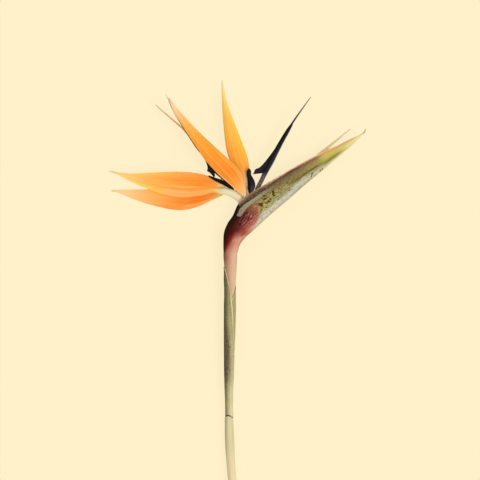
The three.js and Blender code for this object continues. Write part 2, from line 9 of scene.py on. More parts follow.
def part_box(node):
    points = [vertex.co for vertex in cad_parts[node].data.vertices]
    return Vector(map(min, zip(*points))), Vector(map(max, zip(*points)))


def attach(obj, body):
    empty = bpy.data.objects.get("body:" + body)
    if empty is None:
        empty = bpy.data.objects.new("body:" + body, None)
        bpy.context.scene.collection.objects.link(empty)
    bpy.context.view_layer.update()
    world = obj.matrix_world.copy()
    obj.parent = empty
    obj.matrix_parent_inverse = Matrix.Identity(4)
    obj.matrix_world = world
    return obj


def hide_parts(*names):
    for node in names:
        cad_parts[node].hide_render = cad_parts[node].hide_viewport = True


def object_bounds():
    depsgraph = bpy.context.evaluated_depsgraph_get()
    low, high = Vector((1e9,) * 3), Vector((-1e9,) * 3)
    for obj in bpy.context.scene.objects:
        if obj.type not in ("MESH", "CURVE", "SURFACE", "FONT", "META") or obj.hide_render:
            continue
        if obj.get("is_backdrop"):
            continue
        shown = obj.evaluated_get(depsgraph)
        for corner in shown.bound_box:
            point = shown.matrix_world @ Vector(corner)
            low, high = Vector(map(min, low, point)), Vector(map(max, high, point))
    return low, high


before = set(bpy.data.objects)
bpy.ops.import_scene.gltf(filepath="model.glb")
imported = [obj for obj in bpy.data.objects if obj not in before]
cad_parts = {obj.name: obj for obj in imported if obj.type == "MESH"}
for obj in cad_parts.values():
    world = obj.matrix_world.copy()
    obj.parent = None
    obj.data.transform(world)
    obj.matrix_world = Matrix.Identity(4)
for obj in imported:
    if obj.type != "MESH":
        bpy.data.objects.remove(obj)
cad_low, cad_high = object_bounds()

# ------------------------------------------------------------------ surface, light and camera
# The cut flower lies on its side on a plain cream surface, in soft even light, and is seen from
# straight above through a long lens, so that its outline is as flat as in a plant portrait.
VIEW_WIDTH = 0.432  # the width of the surface that the picture takes in
VIEW_CENTRE = (0.00205, 0.04598)
LENS = 300  # a long lens, in millimetres, on the usual 36 mm sensor
SENSOR = 36
FOCUS_HEIGHT = 0.010
CREAM = (0.991, 0.871, 0.584)  # the surface's own even glow
CREAM_LIT = (0.1, 0.087, 0.058)  # the small part of it that takes light and soft shadow
LIGHTS = [  # each with its tilt in degrees, its strength and how wide its glow is, in degrees
    ("window", (14, 34, 0), 1.4, 25),
    ("fill", (-30, -35, 0), 0.3, 60),
]

camera_data = bpy.data.cameras.new("camera")
camera_data.lens = LENS
camera_data.sensor_width = SENSOR
camera_data.clip_end = 50
camera = bpy.data.objects.new("camera", camera_data)
camera.location = (*VIEW_CENTRE, FOCUS_HEIGHT + VIEW_WIDTH * LENS / SENSOR)
bpy.context.collection.objects.link(camera)
bpy.context.scene.camera = camera
bpy.context.scene.view_settings.view_transform = "Standard"

bpy.ops.object.select_all(action="DESELECT")
bpy.ops.mesh.primitive_plane_add(size=40)
floor = bpy.context.object
floor.name = "floor"
floor_paint = bpy.data.materials.new("cream_surface")
floor_paint.use_nodes = True
floor_shader = floor_paint.node_tree.nodes["Principled BSDF"]
floor_shader.inputs["Base Color"].default_value = (*CREAM_LIT, 1)
floor_shader.inputs["Roughness"].default_value = 0.9
floor_shader.inputs["Specular IOR Level"].default_value = 0
floor_shader.inputs["Emission Color"].default_value = (*CREAM, 1)
floor_shader.inputs["Emission Strength"].default_value = 0.9
floor.data.materials.append(floor_paint)
floor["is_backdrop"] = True

world = bpy.data.worlds.new("soft_room")
world.use_nodes = True
sky = world.node_tree.nodes["Background"]
sky.inputs["Color"].default_value = (1, 0.98, 0.95, 1)
sky.inputs["Strength"].default_value = 0.68
bpy.context.scene.world = world

for name, tilt, strength, spread in LIGHTS:
    lamp = bpy.data.lights.new(name, "SUN")
    lamp.energy = strength
    lamp.angle = math.radians(spread)
    light = bpy.data.objects.new(name, lamp)
    light.rotation_euler = [math.radians(angle) for angle in tilt]
    bpy.context.collection.objects.link(light)

# ------------------------------------------------------------------ stalk
# The flower's stem: one round straw-green shaft from its clean cut to the neck, where it flushes
# pink and red. It is a rolled grid whose rings are sized and laid one by one along the stem's line.
MM = 0.001
CUT_END_Y = -236  # drawing millimetres, measured from a point beside the neck
SPATHE_TIP_X = 113.7
CUT_END_RADIUS = 3.9
AXIS_Z = 9.5  # height of the spathe's mid-plane above the surface
NECK_Y = -12
JOINT_Y = -160.5
ORIGIN_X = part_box("spathe")[1].x - SPATHE_TIP_X * MM
ORIGIN_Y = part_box("stalk")[0].y - CUT_END_Y * MM
ORIGIN = Vector((ORIGIN_X, ORIGIN_Y, 0))


def on_drawing(x, y, z=0):
    """A point of the drawing, in millimetres, as a place in the scene."""
    return ORIGIN + Vector((x, y, z)) * MM


def axis_height(y):
    """The height of the stalk's middle: low at its cut end, and up to the spathe at its neck."""
    share = (y - CUT_END_Y) / (NECK_Y - CUT_END_Y)
    return CUT_END_RADIUS + share * (AXIS_Z - CUT_END_RADIUS)


SMALL_STEPS = 24  # small steps between two given rows, of which the even ones are taken


def smooth(rows, steps):
    """Evenly spaced rows on a smooth line through the given ones: x, y, z and what follows."""
    rows = np.array(rows, float)
    rows = np.vstack([2 * rows[0] - rows[1], rows, 2 * rows[-1] - rows[-2]])
    knots = np.linalg.norm(np.diff(rows[:, :3], axis=0), axis=1) ** 0.5
    fine = []
    for k in range(1, len(rows) - 2):
        before, here, after = knots[k - 1:k + 2]
        a, b, c, d = rows[k - 1:k + 3]
        leave = ((b - a) / before - (c - a) / (before + here) + (c - b) / here) * here
        reach = ((c - b) / here - (d - b) / (here + after) + (d - c) / after) * here
        for t in np.linspace(0, 1, SMALL_STEPS, endpoint=False):
            start = (1 + 2 * t) * (1 - t) ** 2 * b + t * (1 - t) ** 2 * leave
            end = t * t * (3 - 2 * t) * c + t * t * (t - 1) * reach
            fine.append(start + end)
    fine = np.array([*fine, rows[-2]])
    steps_taken = np.linalg.norm(np.diff(fine[:, :3], axis=0), axis=1)
    reached = np.concatenate([[0], np.cumsum(steps_taken)])
    wanted = np.linspace(0, reached[-1], steps + 1)
    return np.array([np.interp(wanted, reached, column) for column in fine.T]).T


def flat_grid(name, columns, rows):
    """A flat grid one unit wide and long with its UV map, open in edit mode."""
    bpy.ops.object.select_all(action="DESELECT")
    bpy.ops.mesh.primitive_grid_add(x_subdivisions=columns, y_subdivisions=rows, size=1)
    piece = bpy.context.object
    piece.name = name
    piece.data.name = name
    bpy.ops.object.mode_set(mode="EDIT")
    return piece


def pick(points):
    """Selects these points and no others."""
    bpy.ops.mesh.select_all(action="DESELECT")
    for point in points:
        point.select = True


def lines_of(mesh, axis):
    """The grid's points in lines of equal x (axis 0) or equal y (axis 1), in order."""
    lines = {}
    for point in mesh.verts:
        lines.setdefault(round(point.co[axis], 4), []).append(point)
    return [lines[place] for place in sorted(lines)]


def lay_row(row, width, depth, across, up, place):
    """Sizes a row that lies about the y axis, turns it to face along the line and moves it there."""
    centre = Vector((0, row[0].co.y, 0))
    pick(row)
    bpy.ops.transform.resize(value=(width, 1, depth), center_override=centre)
    facing = Matrix((across, up.cross(across), up)).transposed().to_euler("XYZ")
    for axis, angle in zip("XYZ", facing):
        bpy.ops.transform.rotate(value=-angle, orient_axis=axis, center_override=centre)
    bpy.ops.transform.translate(value=place - centre)


def limb(name, stations, sides, steps):
    """A round tapering shaft along x, y, z with half its width and depth, in drawing millimetres."""
    piece = flat_grid(name, sides, steps)
    mesh = bmesh.from_edit_mesh(piece.data)
    for column in lines_of(mesh, 0):
        x = column[0].co.x
        turn = -2 * math.pi * x
        pick(column)
        bpy.ops.transform.translate(value=(math.sin(turn) - x, 0, math.cos(turn)))
    bpy.ops.mesh.select_all(action="SELECT")
    bpy.ops.mesh.remove_doubles(threshold=0.0001)
    line = smooth(stations, steps)
    ahead = np.gradient(line[:, :3], axis=0)
    mesh = bmesh.from_edit_mesh(piece.data)
    for row, (x, y, z, width, depth), way in zip(lines_of(mesh, 1), line, ahead):
        along = Vector(way).normalized()
        across = Vector((along.y, -along.x, 0)).normalized()
        lay_row(row, width * MM, depth * MM, across, across.cross(along), on_drawing(x, y, z))
    bpy.ops.mesh.select_mode(type="EDGE")
    mesh = bmesh.from_edit_mesh(piece.data)
    open_edges = [edge for edge in mesh.edges if edge.is_boundary]
    half = len(open_edges) // 2
    first_end = on_drawing(*stations[0][:3])
    open_edges.sort(key=lambda edge: (edge.verts[0].co - first_end).length)
    for ends in (open_edges[:half], open_edges[half:]):
        bpy.ops.mesh.select_all(action="DESELECT")
        for edge in ends:
            edge.select = True
        bmesh.update_edit_mesh(piece.data)
        bpy.ops.mesh.fill()
    bpy.ops.mesh.select_mode(type="VERT")
    bpy.ops.mesh.select_all(action="SELECT")
    bpy.ops.mesh.normals_make_consistent(inside=False)
    bpy.ops.object.mode_set(mode="OBJECT")
    return piece


def harden(piece, kind, **settings):
    """Adds a modifier to the piece and applies it."""
    bpy.ops.object.select_all(action="DESELECT")
    piece.select_set(True)
    bpy.context.view_layer.objects.active = piece
    modifier = piece.modifiers.new(kind.lower(), kind)
    for key, value in settings.items():
        setattr(modifier, key, value)
    bpy.ops.object.modifier_apply(modifier=modifier.name)


SHARP_FOLD = math.radians(50)  # an edge that bends more than this stays crisp


def dress(piece, material, slot, *nodes):
    """Smooth shading, the material, and the solids that the piece stands for."""
    piece.data.materials.append(material)
    bpy.ops.object.select_all(action="DESELECT")
    piece.select_set(True)
    bpy.context.view_layer.objects.active = piece
    bpy.ops.object.shade_smooth_by_angle(angle=SHARP_FOLD)
    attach(piece, "root")
    if nodes:
        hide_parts(*nodes)


def linear(colour):
    """A colour written as six hexadecimal digits, as the shader wants it."""
    parts = [int(colour[k:k + 2], 16) / 255 for k in (0, 2, 4)]
    return (*[p / 12.92 if p < 0.04045 else ((p + 0.055) / 1.055) ** 2.4 for p in parts], 1)


class Finish:
    """A surface finish whose colours and bumps are wired up step by step."""

    def __init__(self, name, roughness, gloss=0.5):
        self.material = bpy.data.materials.new(name)
        self.material.use_nodes = True
        self.tree = self.material.node_tree
        self.shader = self.tree.nodes["Principled BSDF"]
        self.shader.inputs["Roughness"].default_value = roughness
        self.shader.inputs["Specular IOR Level"].default_value = gloss
        place = self.add("TexCoord")
        self.object = place.outputs["Object"]
        self.uv = place.outputs["UV"]

    def add(self, kind, **settings):
        """A new shader node of the kind, with its settings."""
        node = self.tree.nodes.new("ShaderNode" + kind)
        for key, value in settings.items():
            setattr(node, key, value)
        return node

    def feed(self, socket, source):
        """Links a socket to its source, or gives it a colour or a number."""
        if isinstance(source, bpy.types.NodeSocket):
            self.tree.links.new(source, socket)
        elif isinstance(source, str):
            socket.default_value = linear(source)
        else:
            socket.default_value = source

    def work(self, operation, *sources):
        node = self.add("Math", operation=operation)
        for socket, source in zip(node.inputs, sources):
            self.feed(socket, source)
        return node.outputs[0]

    def split(self, vector):
        node = self.add("SeparateXYZ")
        self.feed(node.inputs[0], vector)
        return node.outputs

    def placed(self, vector, scale, shift=(0, 0, 0)):
        node = self.add("Mapping")
        self.feed(node.inputs["Vector"], vector)
        node.inputs["Location"].default_value = shift
        node.inputs["Scale"].default_value = scale
        return node.outputs[0]

    def drawing(self):
        """The place on the drawing, in millimetres."""
        return self.placed(self.object, (1 / MM,) * 3, tuple(-ORIGIN / MM))

    def step(self, value, low, high):
        """0 below low, 1 above high and a soft slope between them; the other way if low is above."""
        node = self.add("MapRange", interpolation_type="SMOOTHSTEP")
        self.feed(node.inputs["Value"], value)
        self.feed(node.inputs["From Min"], low)
        self.feed(node.inputs["From Max"], high)
        return node.outputs[0]

    def ramp(self, value, *stops):
        """A colour, or a number, that follows the given stops as value goes from 0 to 1."""
        node = self.add("ValToRGB")
        self.feed(node.inputs[0], value)
        slots = node.color_ramp.elements
        while len(slots) < len(stops):
            slots.new(0.5)
        for slot, (place, tone) in zip(slots, stops):
            slot.position = place
            slot.color = linear(tone) if isinstance(tone, str) else (tone, tone, tone, 1)
        return node.outputs[0]

    def both(self, *masks):
        """The product of several masks."""
        product = masks[0]
        for mask in masks[1:]:
            product = self.work("MULTIPLY", product, mask)
        return product

    def band(self, value, low, high, soft):
        """1 between low and high, falling to 0 over soft outside them."""
        return self.both(self.step(value, low - soft, low), self.step(value, high + soft, high))

    def apart(self, first, second):
        """How far two values are from each other."""
        return self.work("ABSOLUTE", self.work("SUBTRACT", first, second))

    def stray(self, value, source, amount):
        """The value pushed up or down by up to half the amount, as the noise source says."""
        centred = self.work("SUBTRACT", source, 0.5)
        return self.work("ADD", value, self.work("MULTIPLY", centred, amount))

    def noise(self, vector, scale=1.0, detail=3.0, rough=0.55):
        """Even noise at one scale, or stretched noise where scale is three numbers."""
        if isinstance(scale, tuple):
            vector, scale = self.placed(vector, scale), 1.0
        node = self.add("TexNoise")
        self.feed(node.inputs["Vector"], vector)
        node.inputs["Scale"].default_value = scale
        node.inputs["Detail"].default_value = detail
        node.inputs["Roughness"].default_value = rough
        return node.outputs["Fac"]

    def mix(self, share, first, second, blend="MIX"):
        node = self.add("Mix", data_type="RGBA", blend_type=blend)
        self.feed(node.inputs[0], share)
        self.feed(node.inputs[6], first)
        self.feed(node.inputs[7], second)
        return node.outputs[2]

    def tint(self, skin, tone, *masks):
        """The skin with a tone laid over it where all the masks are on."""
        return self.mix(self.both(*masks), skin, tone)

    def colour(self, source):
        self.feed(self.shader.inputs["Base Color"], source)

    def bump(self, height, distance):
        node = self.add("Bump")
        self.feed(node.inputs["Height"], height)
        node.inputs["Distance"].default_value = distance
        self.feed(self.shader.inputs["Normal"], node.outputs[0])


def neck_colour(finish, across, along):
    """The pink of the neck, which runs from the stalk into the spathe without a break, with painted shade
    that darkens its left side to near black.
    """
    fibre = finish.noise(finish.object, (1500, 60, 1500), detail=4)
    across = finish.stray(across, fibre, 0.16)
    # Each ramp starts near black at the left side, which is painted shade.
    upper = finish.ramp(
        across, (0, "2a1008"), (0.1, "6c2c20"), (0.27, "944438"), (0.46, "b06350"), (0.65, "c1806e"),
        (0.82, "cb947e"), (0.94, "be8c70"), (1, "9c7458"),
    )
    middle = finish.ramp(
        across, (0, "4a2a1c"), (0.06, "7a4630"), (0.14, "9c5e46"), (0.28, "b57860"), (0.46, "c48870"),
        (0.65, "ce9a82"), (0.82, "d3a68c"), (0.94, "cdac8c"), (1, "b09070"),
    )
    lower = finish.ramp(
        across, (0, "8c7252"), (0.08, "a98a66"), (0.28, "c09474"), (0.5, "cc9e7e"), (0.65, "d0a684"),
        (0.8, "d3b08c"), (0.92, "d2b690"), (1, "c4a884"),
    )
    skin = finish.mix(finish.step(along, -3, -12), upper, middle)
    return finish.mix(finish.step(along, -13, -31), skin, lower)


# The stalk's line as x, y and its radius; its height follows from axis_height.
BARE_STALK = [
    (-4.7, CUT_END_Y, CUT_END_RADIUS), (-6.95, -216, 3.95), (-8.8, -192.6, 4.05), (-9.35, -179, 4.25),
    (-9.8, -166, 3.9), (-9.9, JOINT_Y, 3.75),
]
WRAPPED_STALK = [
    (-9.9, -157, 2.8), (-9.9, -137.7, 2.8), (-9.7, -119.7, 3.3), (-9.2, -82.8, 4.2), (-9.1, -56, 4.5),
    (-9, -44, 4.6), (-8.7, -36, 5.1), (-8.5, -28, 5.4), (-8.6, -22.5, 5.7), (-8.7, -17, 6.1),
    (-8.65, NECK_Y, 6.2), (-7.2, -3.7, 5.6),
]
stalk_line = [(x, y, axis_height(y), radius, radius) for x, y, radius in BARE_STALK + WRAPPED_STALK]
stalk = limb("stalk", stalk_line, sides=40, steps=150)

# Its colours run from left to right, with painted shade on the left side and painted light on the
# right side, and change at these places of the drawing, in millimetres.
finish = Finish("stalk_skin", 0.5, 0.4)
side, along, _ = finish.split(finish.drawing())
fibre = finish.noise(finish.object, (1800, 28, 1800), detail=5)
pores = finish.noise(finish.object, (1500, 700, 1500), detail=2)
across = finish.step(side, -15.6, -1.6)
grainy = finish.stray(across, fibre, 0.14)
# Both ramps darken towards the left side as painted shade and brighten towards the right as painted
# light.
fresh = finish.ramp(
    grainy, (0.02, "a2946a"), (0.1, "b8ab84"), (0.2, "c8c09a"), (0.35, "d1c9a0"), (0.5, "cfc59a"),
    (0.65, "cec297"), (0.85, "d2c69a"), (0.95, "ddd2a6"), (1, "ebdfb4"),
)
weathered = finish.ramp(
    grainy, (0.02, "cab98e"), (0.15, "d8c79c"), (0.35, "dbc9a0"), (0.6, "decea2"), (0.88, "e0d1a4"),
    (1, "eee0b5"),
)
low_part = finish.mix(finish.step(along, -178, -208), fresh, weathered)
skin = finish.mix(finish.step(along, -60, -50), low_part, neck_colour(finish, across, along))
skin = finish.mix(finish.both(finish.step(fibre, 0.45, 0.75), 0.35), skin, "d8c4a4", "MULTIPLY")
skin = finish.tint(skin, "f4e6cc", finish.step(pores, 0.6, 0.75), 0.25)
cut_end = finish.step(along, CUT_END_Y + 0.25, CUT_END_Y + 0.05)
bundles = finish.noise(finish.object, (1400, 0, 1400), detail=1)
cut_face = finish.ramp(finish.step(bundles, 0.35, 0.7), (0, "d8cc9a"), (0.6, "ece2bb"), (1, "a98f5c"))
skin = finish.mix(cut_end, skin, cut_face)
finish.colour(skin)
finish.bump(fibre, 0.0003)
dress(stalk, finish.material, "stalk", "stalk")

# ------------------------------------------------------------------ sheath
# A dry olive bract that grows at the stalk's joint and wraps it. It is one sheet rolled round the
# stalk: its pale outer margin laps over the inner one, and the two part in a V near the neck.
SHEATH_WALL = 0.5
SHEATH_TIP_Y = -23.4
SHEATH_V_Y = -53.2
SHEATH_RIGHT_Y = -43.5
LAP = math.radians(50)  # how far one margin runs under the other
SHEATH_GAP = 0.42  # from the stalk's skin to the middle of the sheath
NARROW_STALK = 2.8  # the sheath keeps its size where the stalk inside gets thinner than this
ARCH = 1.7  # how high the sheath's foot arches over the joint
ARCH_TURN = 1.87  # where round the stalk the arch has its middle, in radians
ARCH_END = 3.6  # the turn past which the sheet runs under itself and needs no arch
LEAN = 0.35  # how far the sheath leans left of the stalk, half way up its lower part
LEAN_FOOT = -158
LEAN_LENGTH = 90
WRINKLE = 0.12
FULLNESS = ((-146, -122, -60, -51, -44, -36, -28), (0, 0.4, 0.4, 0.1, 0.1, 0.25, 0.05))
stalk_rings = np.array(sorted((y, x, radius) for x, y, radius in WRAPPED_STALK))


def sheath_top(turn):
    """How far up the sheath reaches, turn degrees round from its outer margin."""
    turns = (0, 10, 25, 44, 67, 107, 287, 360, 420)
    heights = (SHEATH_V_Y, -47.6, -39.8, -32.4, -25.2, SHEATH_TIP_Y, SHEATH_RIGHT_Y, SHEATH_V_Y, -66)
    return float(np.interp(turn, turns, heights))


def outer_margin(y):
    """The outer margin's place round the stalk: on top near the V, on the right further down."""
    heights = (-140, -118, -99, -81, -65, SHEATH_V_Y)
    return math.radians(float(np.interp(y, heights, (-12, 0, 20, 45, 60, 73))))


sheath = flat_grid("stalk_sheath", 72, 90)
sheath_mesh = bmesh.from_edit_mesh(sheath.data)
for point in sheath_mesh.verts:
    share, rise = point.co.x + 0.5, point.co.y + 0.5
    turn = share * (2 * math.pi + LAP)
    arch = max(0, math.cos((turn + outer_margin(JOINT_Y) - ARCH_TURN) * 1.6)) if turn < ARCH_END else 0
    foot = JOINT_Y + 0.2 + ARCH * arch + 0.3 * noise.noise(Vector((turn * 2, 0, 3)))
    y = foot + (sheath_top(math.degrees(turn)) - foot) * rise
    x, radius = [float(np.interp(y, stalk_rings[:, 0], stalk_rings[:, k])) for k in (1, 2)]
    lap = (0.3 if y < -100 else 0.6) * min(max((LAP * 1.6 - turn) / LAP, 0), 1)
    full = float(np.interp(y, *FULLNESS))
    radius = max(radius, NARROW_STALK) + SHEATH_GAP + lap + full
    x -= LEAN * math.sin(math.pi * min(max((y - LEAN_FOOT) / LEAN_LENGTH, 0), 1))
    angle = outer_margin(y) + turn
    radius += WRINKLE * noise.noise(Vector((angle * 2, y / 16, 0)))
    point.co = on_drawing(x + radius * math.cos(angle), y, axis_height(y) + radius * math.sin(angle))
bpy.ops.mesh.select_all(action="SELECT")
bpy.ops.mesh.flip_normals()
bpy.ops.object.mode_set(mode="OBJECT")
harden(sheath, "SOLIDIFY", thickness=SHEATH_WALL * MM, offset=0)
harden(sheath, "SUBSURF", levels=1, render_levels=1)

# Olive, with a brown stretch half way and straw lower down, each from the left side to the right,
# with painted shade that darkens the left side.
finish = Finish("sheath_skin", 0.6, 0.3)
ours = finish.drawing()
side, along, _ = finish.split(ours)
round_it, up_it, _ = finish.split(finish.uv)
fibre = finish.noise(finish.uv, (90, 3, 1), detail=5)
grain = finish.noise(ours, (1.3, 0.9, 1.3), detail=4, rough=0.7)
blotch = finish.noise(ours, (0.3, 0.07, 0.3), detail=4)
across = finish.step(finish.stray(side, fibre, 1.6), -14.6, -4)
# Each ramp is darkest at the left side, which is painted shade.
green = finish.ramp(
    across, (0, "2f2b18"), (0.1, "625d38"), (0.3, "8f8a58"), (0.55, "a69f6e"), (0.8, "b2a878"),
    (1, "b0a478"),
)
brown = finish.ramp(
    across, (0, "2c2114"), (0.12, "4f3f27"), (0.34, "645436"), (0.55, "8c8058"), (0.8, "b0a57a"),
    (1, "cbbf94"),
)
straw = finish.ramp(
    across, (0, "575235"), (0.12, "8b8458"), (0.3, "b5ab7d"), (0.55, "ccc498"), (0.8, "ddd4ac"),
    (1, "d9cca4"),
)
low_share = finish.step(finish.stray(along, blotch, 30), -112, -156)
middle = finish.both(finish.band(finish.stray(along, blotch, 26), -118, -92, 18), 0.95)
skin = finish.mix(middle, green, brown)
skin = finish.mix(low_share, skin, straw)
strip = finish.both(finish.step(round_it, 0.55, 0.62), finish.step(along, -132, -112))
skin = finish.tint(skin, "9a8d5e", strip, 0.75)
skin = finish.tint(skin, "c9bf8e", finish.step(fibre, 0.52, 0.75), 0.45)
skin = finish.tint(skin, "4b4426", finish.step(grain, 0.52, 0.68), 0.6)
skin = finish.tint(skin, "b9b184", finish.step(grain, 0.48, 0.34), 0.45)
# A thin dark line beside the pale lip of the outer margin: painted shadow of the lip.
lip_shadow = finish.both(finish.band(round_it, 0.05, 0.06, 0.012), 0.3)
skin = finish.tint(skin, "55492c", lip_shadow)
specks = finish.noise(ours, scale=0.6, detail=1)
speckled = finish.both(finish.step(specks, 0.7, 0.74), finish.band(along, -128, -88, 4))
skin = finish.tint(skin, "2b2014", speckled)
top_lip = finish.both(finish.step(up_it, 0.978, 0.99), finish.step(side, -15.6, -14.4))
lip = finish.work("MAXIMUM", finish.step(round_it, 0.034, 0.02), top_lip)
lip_tone = finish.mix(finish.step(side, -6.8, -5.6), "d8c796", "b5a578")
# The lip is dimmer at the left tip: painted shade, like the rest of the left side.
lip_tone = finish.tint(lip_tone, "8a7c50", finish.step(side, -13.2, -14.2))
skin = finish.mix(lip, skin, lip_tone)
skin = finish.tint(skin, "3a2e20", finish.step(up_it, 0.012, 0.006))
finish.colour(skin)
finish.bump(finish.work("ADD", fibre, finish.work("MULTIPLY", grain, 0.4)), 0.0003)
dress(sheath, finish.material, "sheath", "stalk_sheath")

# ------------------------------------------------------------------ spathe
# The boat-shaped bract that wraps the neck and holds the flowers. It is one thick leaf folded
# along its keel, with two lips that stand apart over the flowers and close towards its beak.
SPATHE_WALL = 1.2
SPATHE_ROWS = 120
SPATHE_SIDE = 22  # columns from the keel to one lip
LEAF_COLUMNS = 4 * SPATHE_SIDE + 1
LEAF_LENGTH = 170.8
LEAF_WIDTH = 24

# Stations from the neck to the tip: on the rim, on the keel, half depth, half slit, how round.
SPATHE_STATIONS = [
    ((-14.9, -12), (-2.4, -12), 6.2, 0, 1), ((-15.1, -3.4), (0.2, -4), 6.8, 0, 1),
    ((-14.5, 7), (5.2, 2.5), 7.8, 0, 0.9), ((-11.2, 15.2), (10.8, 7.5), 8.7, 0, 0.8),
    ((-6.4, 22.4), (17.9, 14.1), 9.4, 0.5, 0.6), ((-1.4, 33.2), (25.2, 20.8), 9.8, 4.2, 0.5),
    ((5.3, 39.4), (31.5, 26.3), 9.8, 5, 0.4), ((18.2, 47.8), (38.2, 32), 9.5, 4.4, 0.2),
    ((28.6, 54), (44.9, 37.6), 8.8, 2.4, 0), ((40.4, 61), (54.2, 45.9), 7.7, 1.4, 0),
    ((52.3, 67.7), (63.5, 53.8), 6.5, 1.3, 0), ((64.3, 74.3), (73, 61.5), 5.2, 1.3, 0),
    ((77.6, 81), (83.5, 70.6), 3.8, 1, 0), ((88.8, 85.7), (92.6, 78.3), 2.6, 0.7, 0),
    ((99.4, 91), (102, 86.5), 1.6, 0.4, 0.3), ((106.4, 94.2), (107.9, 92.1), 1, 0.1, 0.8),
    ((111.6, 97.6), (112.6, 96.9), 0.7, 0.05, 1), ((112.8, 100.1), (113.7, 99.9), 0.5, 0, 1),
]


def leaf_rise(share):
    """How far up from keel to rim a column lies; the columns stand closer at both."""
    return (1 - math.cos(math.pi * share)) / 2


def leaf_section(station, share, inset):
    """A point of the folded leaf, share of the way from its keel to its rim, and its half depth."""
    rim, keel = Vector(station[3:5]), Vector(station[5:7])
    half, slit, round_it = station[7:10]
    across = rim - keel
    length = across.length - 2 * inset
    v = leaf_rise(share)
    oval = 2 * math.sqrt(v * (1 - v))
    drop = math.sin(math.pi * v ** 0.75) ** 0.7
    reach = (half - inset) * (round_it * oval + (1 - round_it) * drop)
    least = max(slit, 0.02) + (SPATHE_WALL - inset) * 0.3 if v > 0.5 else 0
    place = keel + across.normalized() * (inset + length * v)
    return place, max(reach, least)


rows = []
for rim, keel, *sizes in SPATHE_STATIONS:
    rows.append([(rim[0] + keel[0]) / 2, (rim[1] + keel[1]) / 2, 0, *rim, *keel, *sizes])
stations = smooth(rows, SPATHE_ROWS)
spathe = flat_grid("spathe", LEAF_COLUMNS, SPATHE_ROWS)
leaf_map = {}
spathe_mesh = bmesh.from_edit_mesh(spathe.data)
spathe_mesh.verts.ensure_lookup_table()
for index, point in enumerate(spathe_mesh.verts):
    row, column = divmod(index, LEAF_COLUMNS + 1)
    inside = column > 2 * SPATHE_SIDE
    step = column - 2 * SPATHE_SIDE - 1 if inside else column
    station = stations[row]
    deep = max(station[7], 0.3)
    broad = (Vector(station[3:5]) - Vector(station[5:7])).length
    wall = min(SPATHE_WALL, 0.55 * deep, 0.28 * broad)  # thinner where the leaf ends in its hook
    share = abs(step - SPATHE_SIDE) / SPATHE_SIDE
    side = 1 if (step < SPATHE_SIDE) != inside else -1
    place, reach = leaf_section(station, share, wall if inside else 0)
    if step == SPATHE_SIDE:
        reach = 0
    point.co = on_drawing(place.x, place.y, max(AXIS_Z + side * reach, 0))
    leaf_map[index] = (row / SPATHE_ROWS, leaf_rise(share), inside)
uv_layer = spathe_mesh.loops.layers.uv.verify()
for face in spathe_mesh.faces:
    lining = 2 if all(leaf_map[point.index][2] for point in face.verts) else 0
    for loop in face.loops:
        ahead, rise, _ = leaf_map[loop.vert.index]
        loop[uv_layer].uv = (ahead + lining, rise)
for row in range(SPATHE_ROWS):
    low = row * (LEAF_COLUMNS + 1)
    high = low + LEAF_COLUMNS + 1
    ring = (low, high, high + LEAF_COLUMNS, low + LEAF_COLUMNS)
    lip = spathe_mesh.faces.new([spathe_mesh.verts[k] for k in ring])
    for loop in lip.loops:
        loop[uv_layer].uv = leaf_map[loop.vert.index][:2]
for first in (0, SPATHE_ROWS * (LEAF_COLUMNS + 1)):
    for column in range(2 * SPATHE_SIDE):
        ring = [first + k for k in (column, column + 1, LEAF_COLUMNS - column - 1, LEAF_COLUMNS - column)]
        end_face = spathe_mesh.faces.new([spathe_mesh.verts[k] for k in ring])
        for loop in end_face.loops:
            loop[uv_layer].uv = leaf_map[loop.vert.index][:2]
bmesh.update_edit_mesh(spathe.data)
bpy.ops.mesh.select_mode(type="VERT")
bpy.ops.mesh.select_all(action="SELECT")
bpy.ops.mesh.normals_make_consistent(inside=False)
bpy.ops.object.mode_set(mode="OBJECT")
harden(spathe, "SUBSURF", levels=1, render_levels=1)

# Every place on the leaf is a share of its length (ahead) and of its width from the keel (rise).
finish = Finish("spathe_skin", 0.6, 0.06)
along = finish.split(finish.drawing())[1]
ahead, rise, _ = finish.split(finish.uv)
on_leaf = finish.placed(finish.uv, (LEAF_LENGTH, LEAF_WIDTH, 1))
streak = finish.noise(on_leaf, (0.07, 1.1, 1), detail=4, rough=0.6)
fine_streak = finish.noise(on_leaf, (0.28, 1.9, 1), detail=2, rough=0.6)
mottle = finish.noise(on_leaf, (0.36, 0.5, 1), detail=4, rough=0.7)
cloud = finish.noise(on_leaf, scale=0.12, detail=3)
calm = finish.step(ahead, 0.88, 0.66)
wax_breadth = finish.ramp(
    ahead, (0.42, 0), (0.53, 0.05), (0.6, 0.07), (0.66, 0.04), (0.71, 0.01), (0.75, 0),
)
lowered = finish.work("SUBTRACT", rise, finish.both(wax_breadth, finish.step(rise, 0.64, 0.44)))
up = finish.stray(finish.stray(lowered, streak, finish.both(calm, 0.14)), cloud, 0.06)
forward = finish.stray(finish.stray(ahead, streak, 0.07), mottle, 0.03)

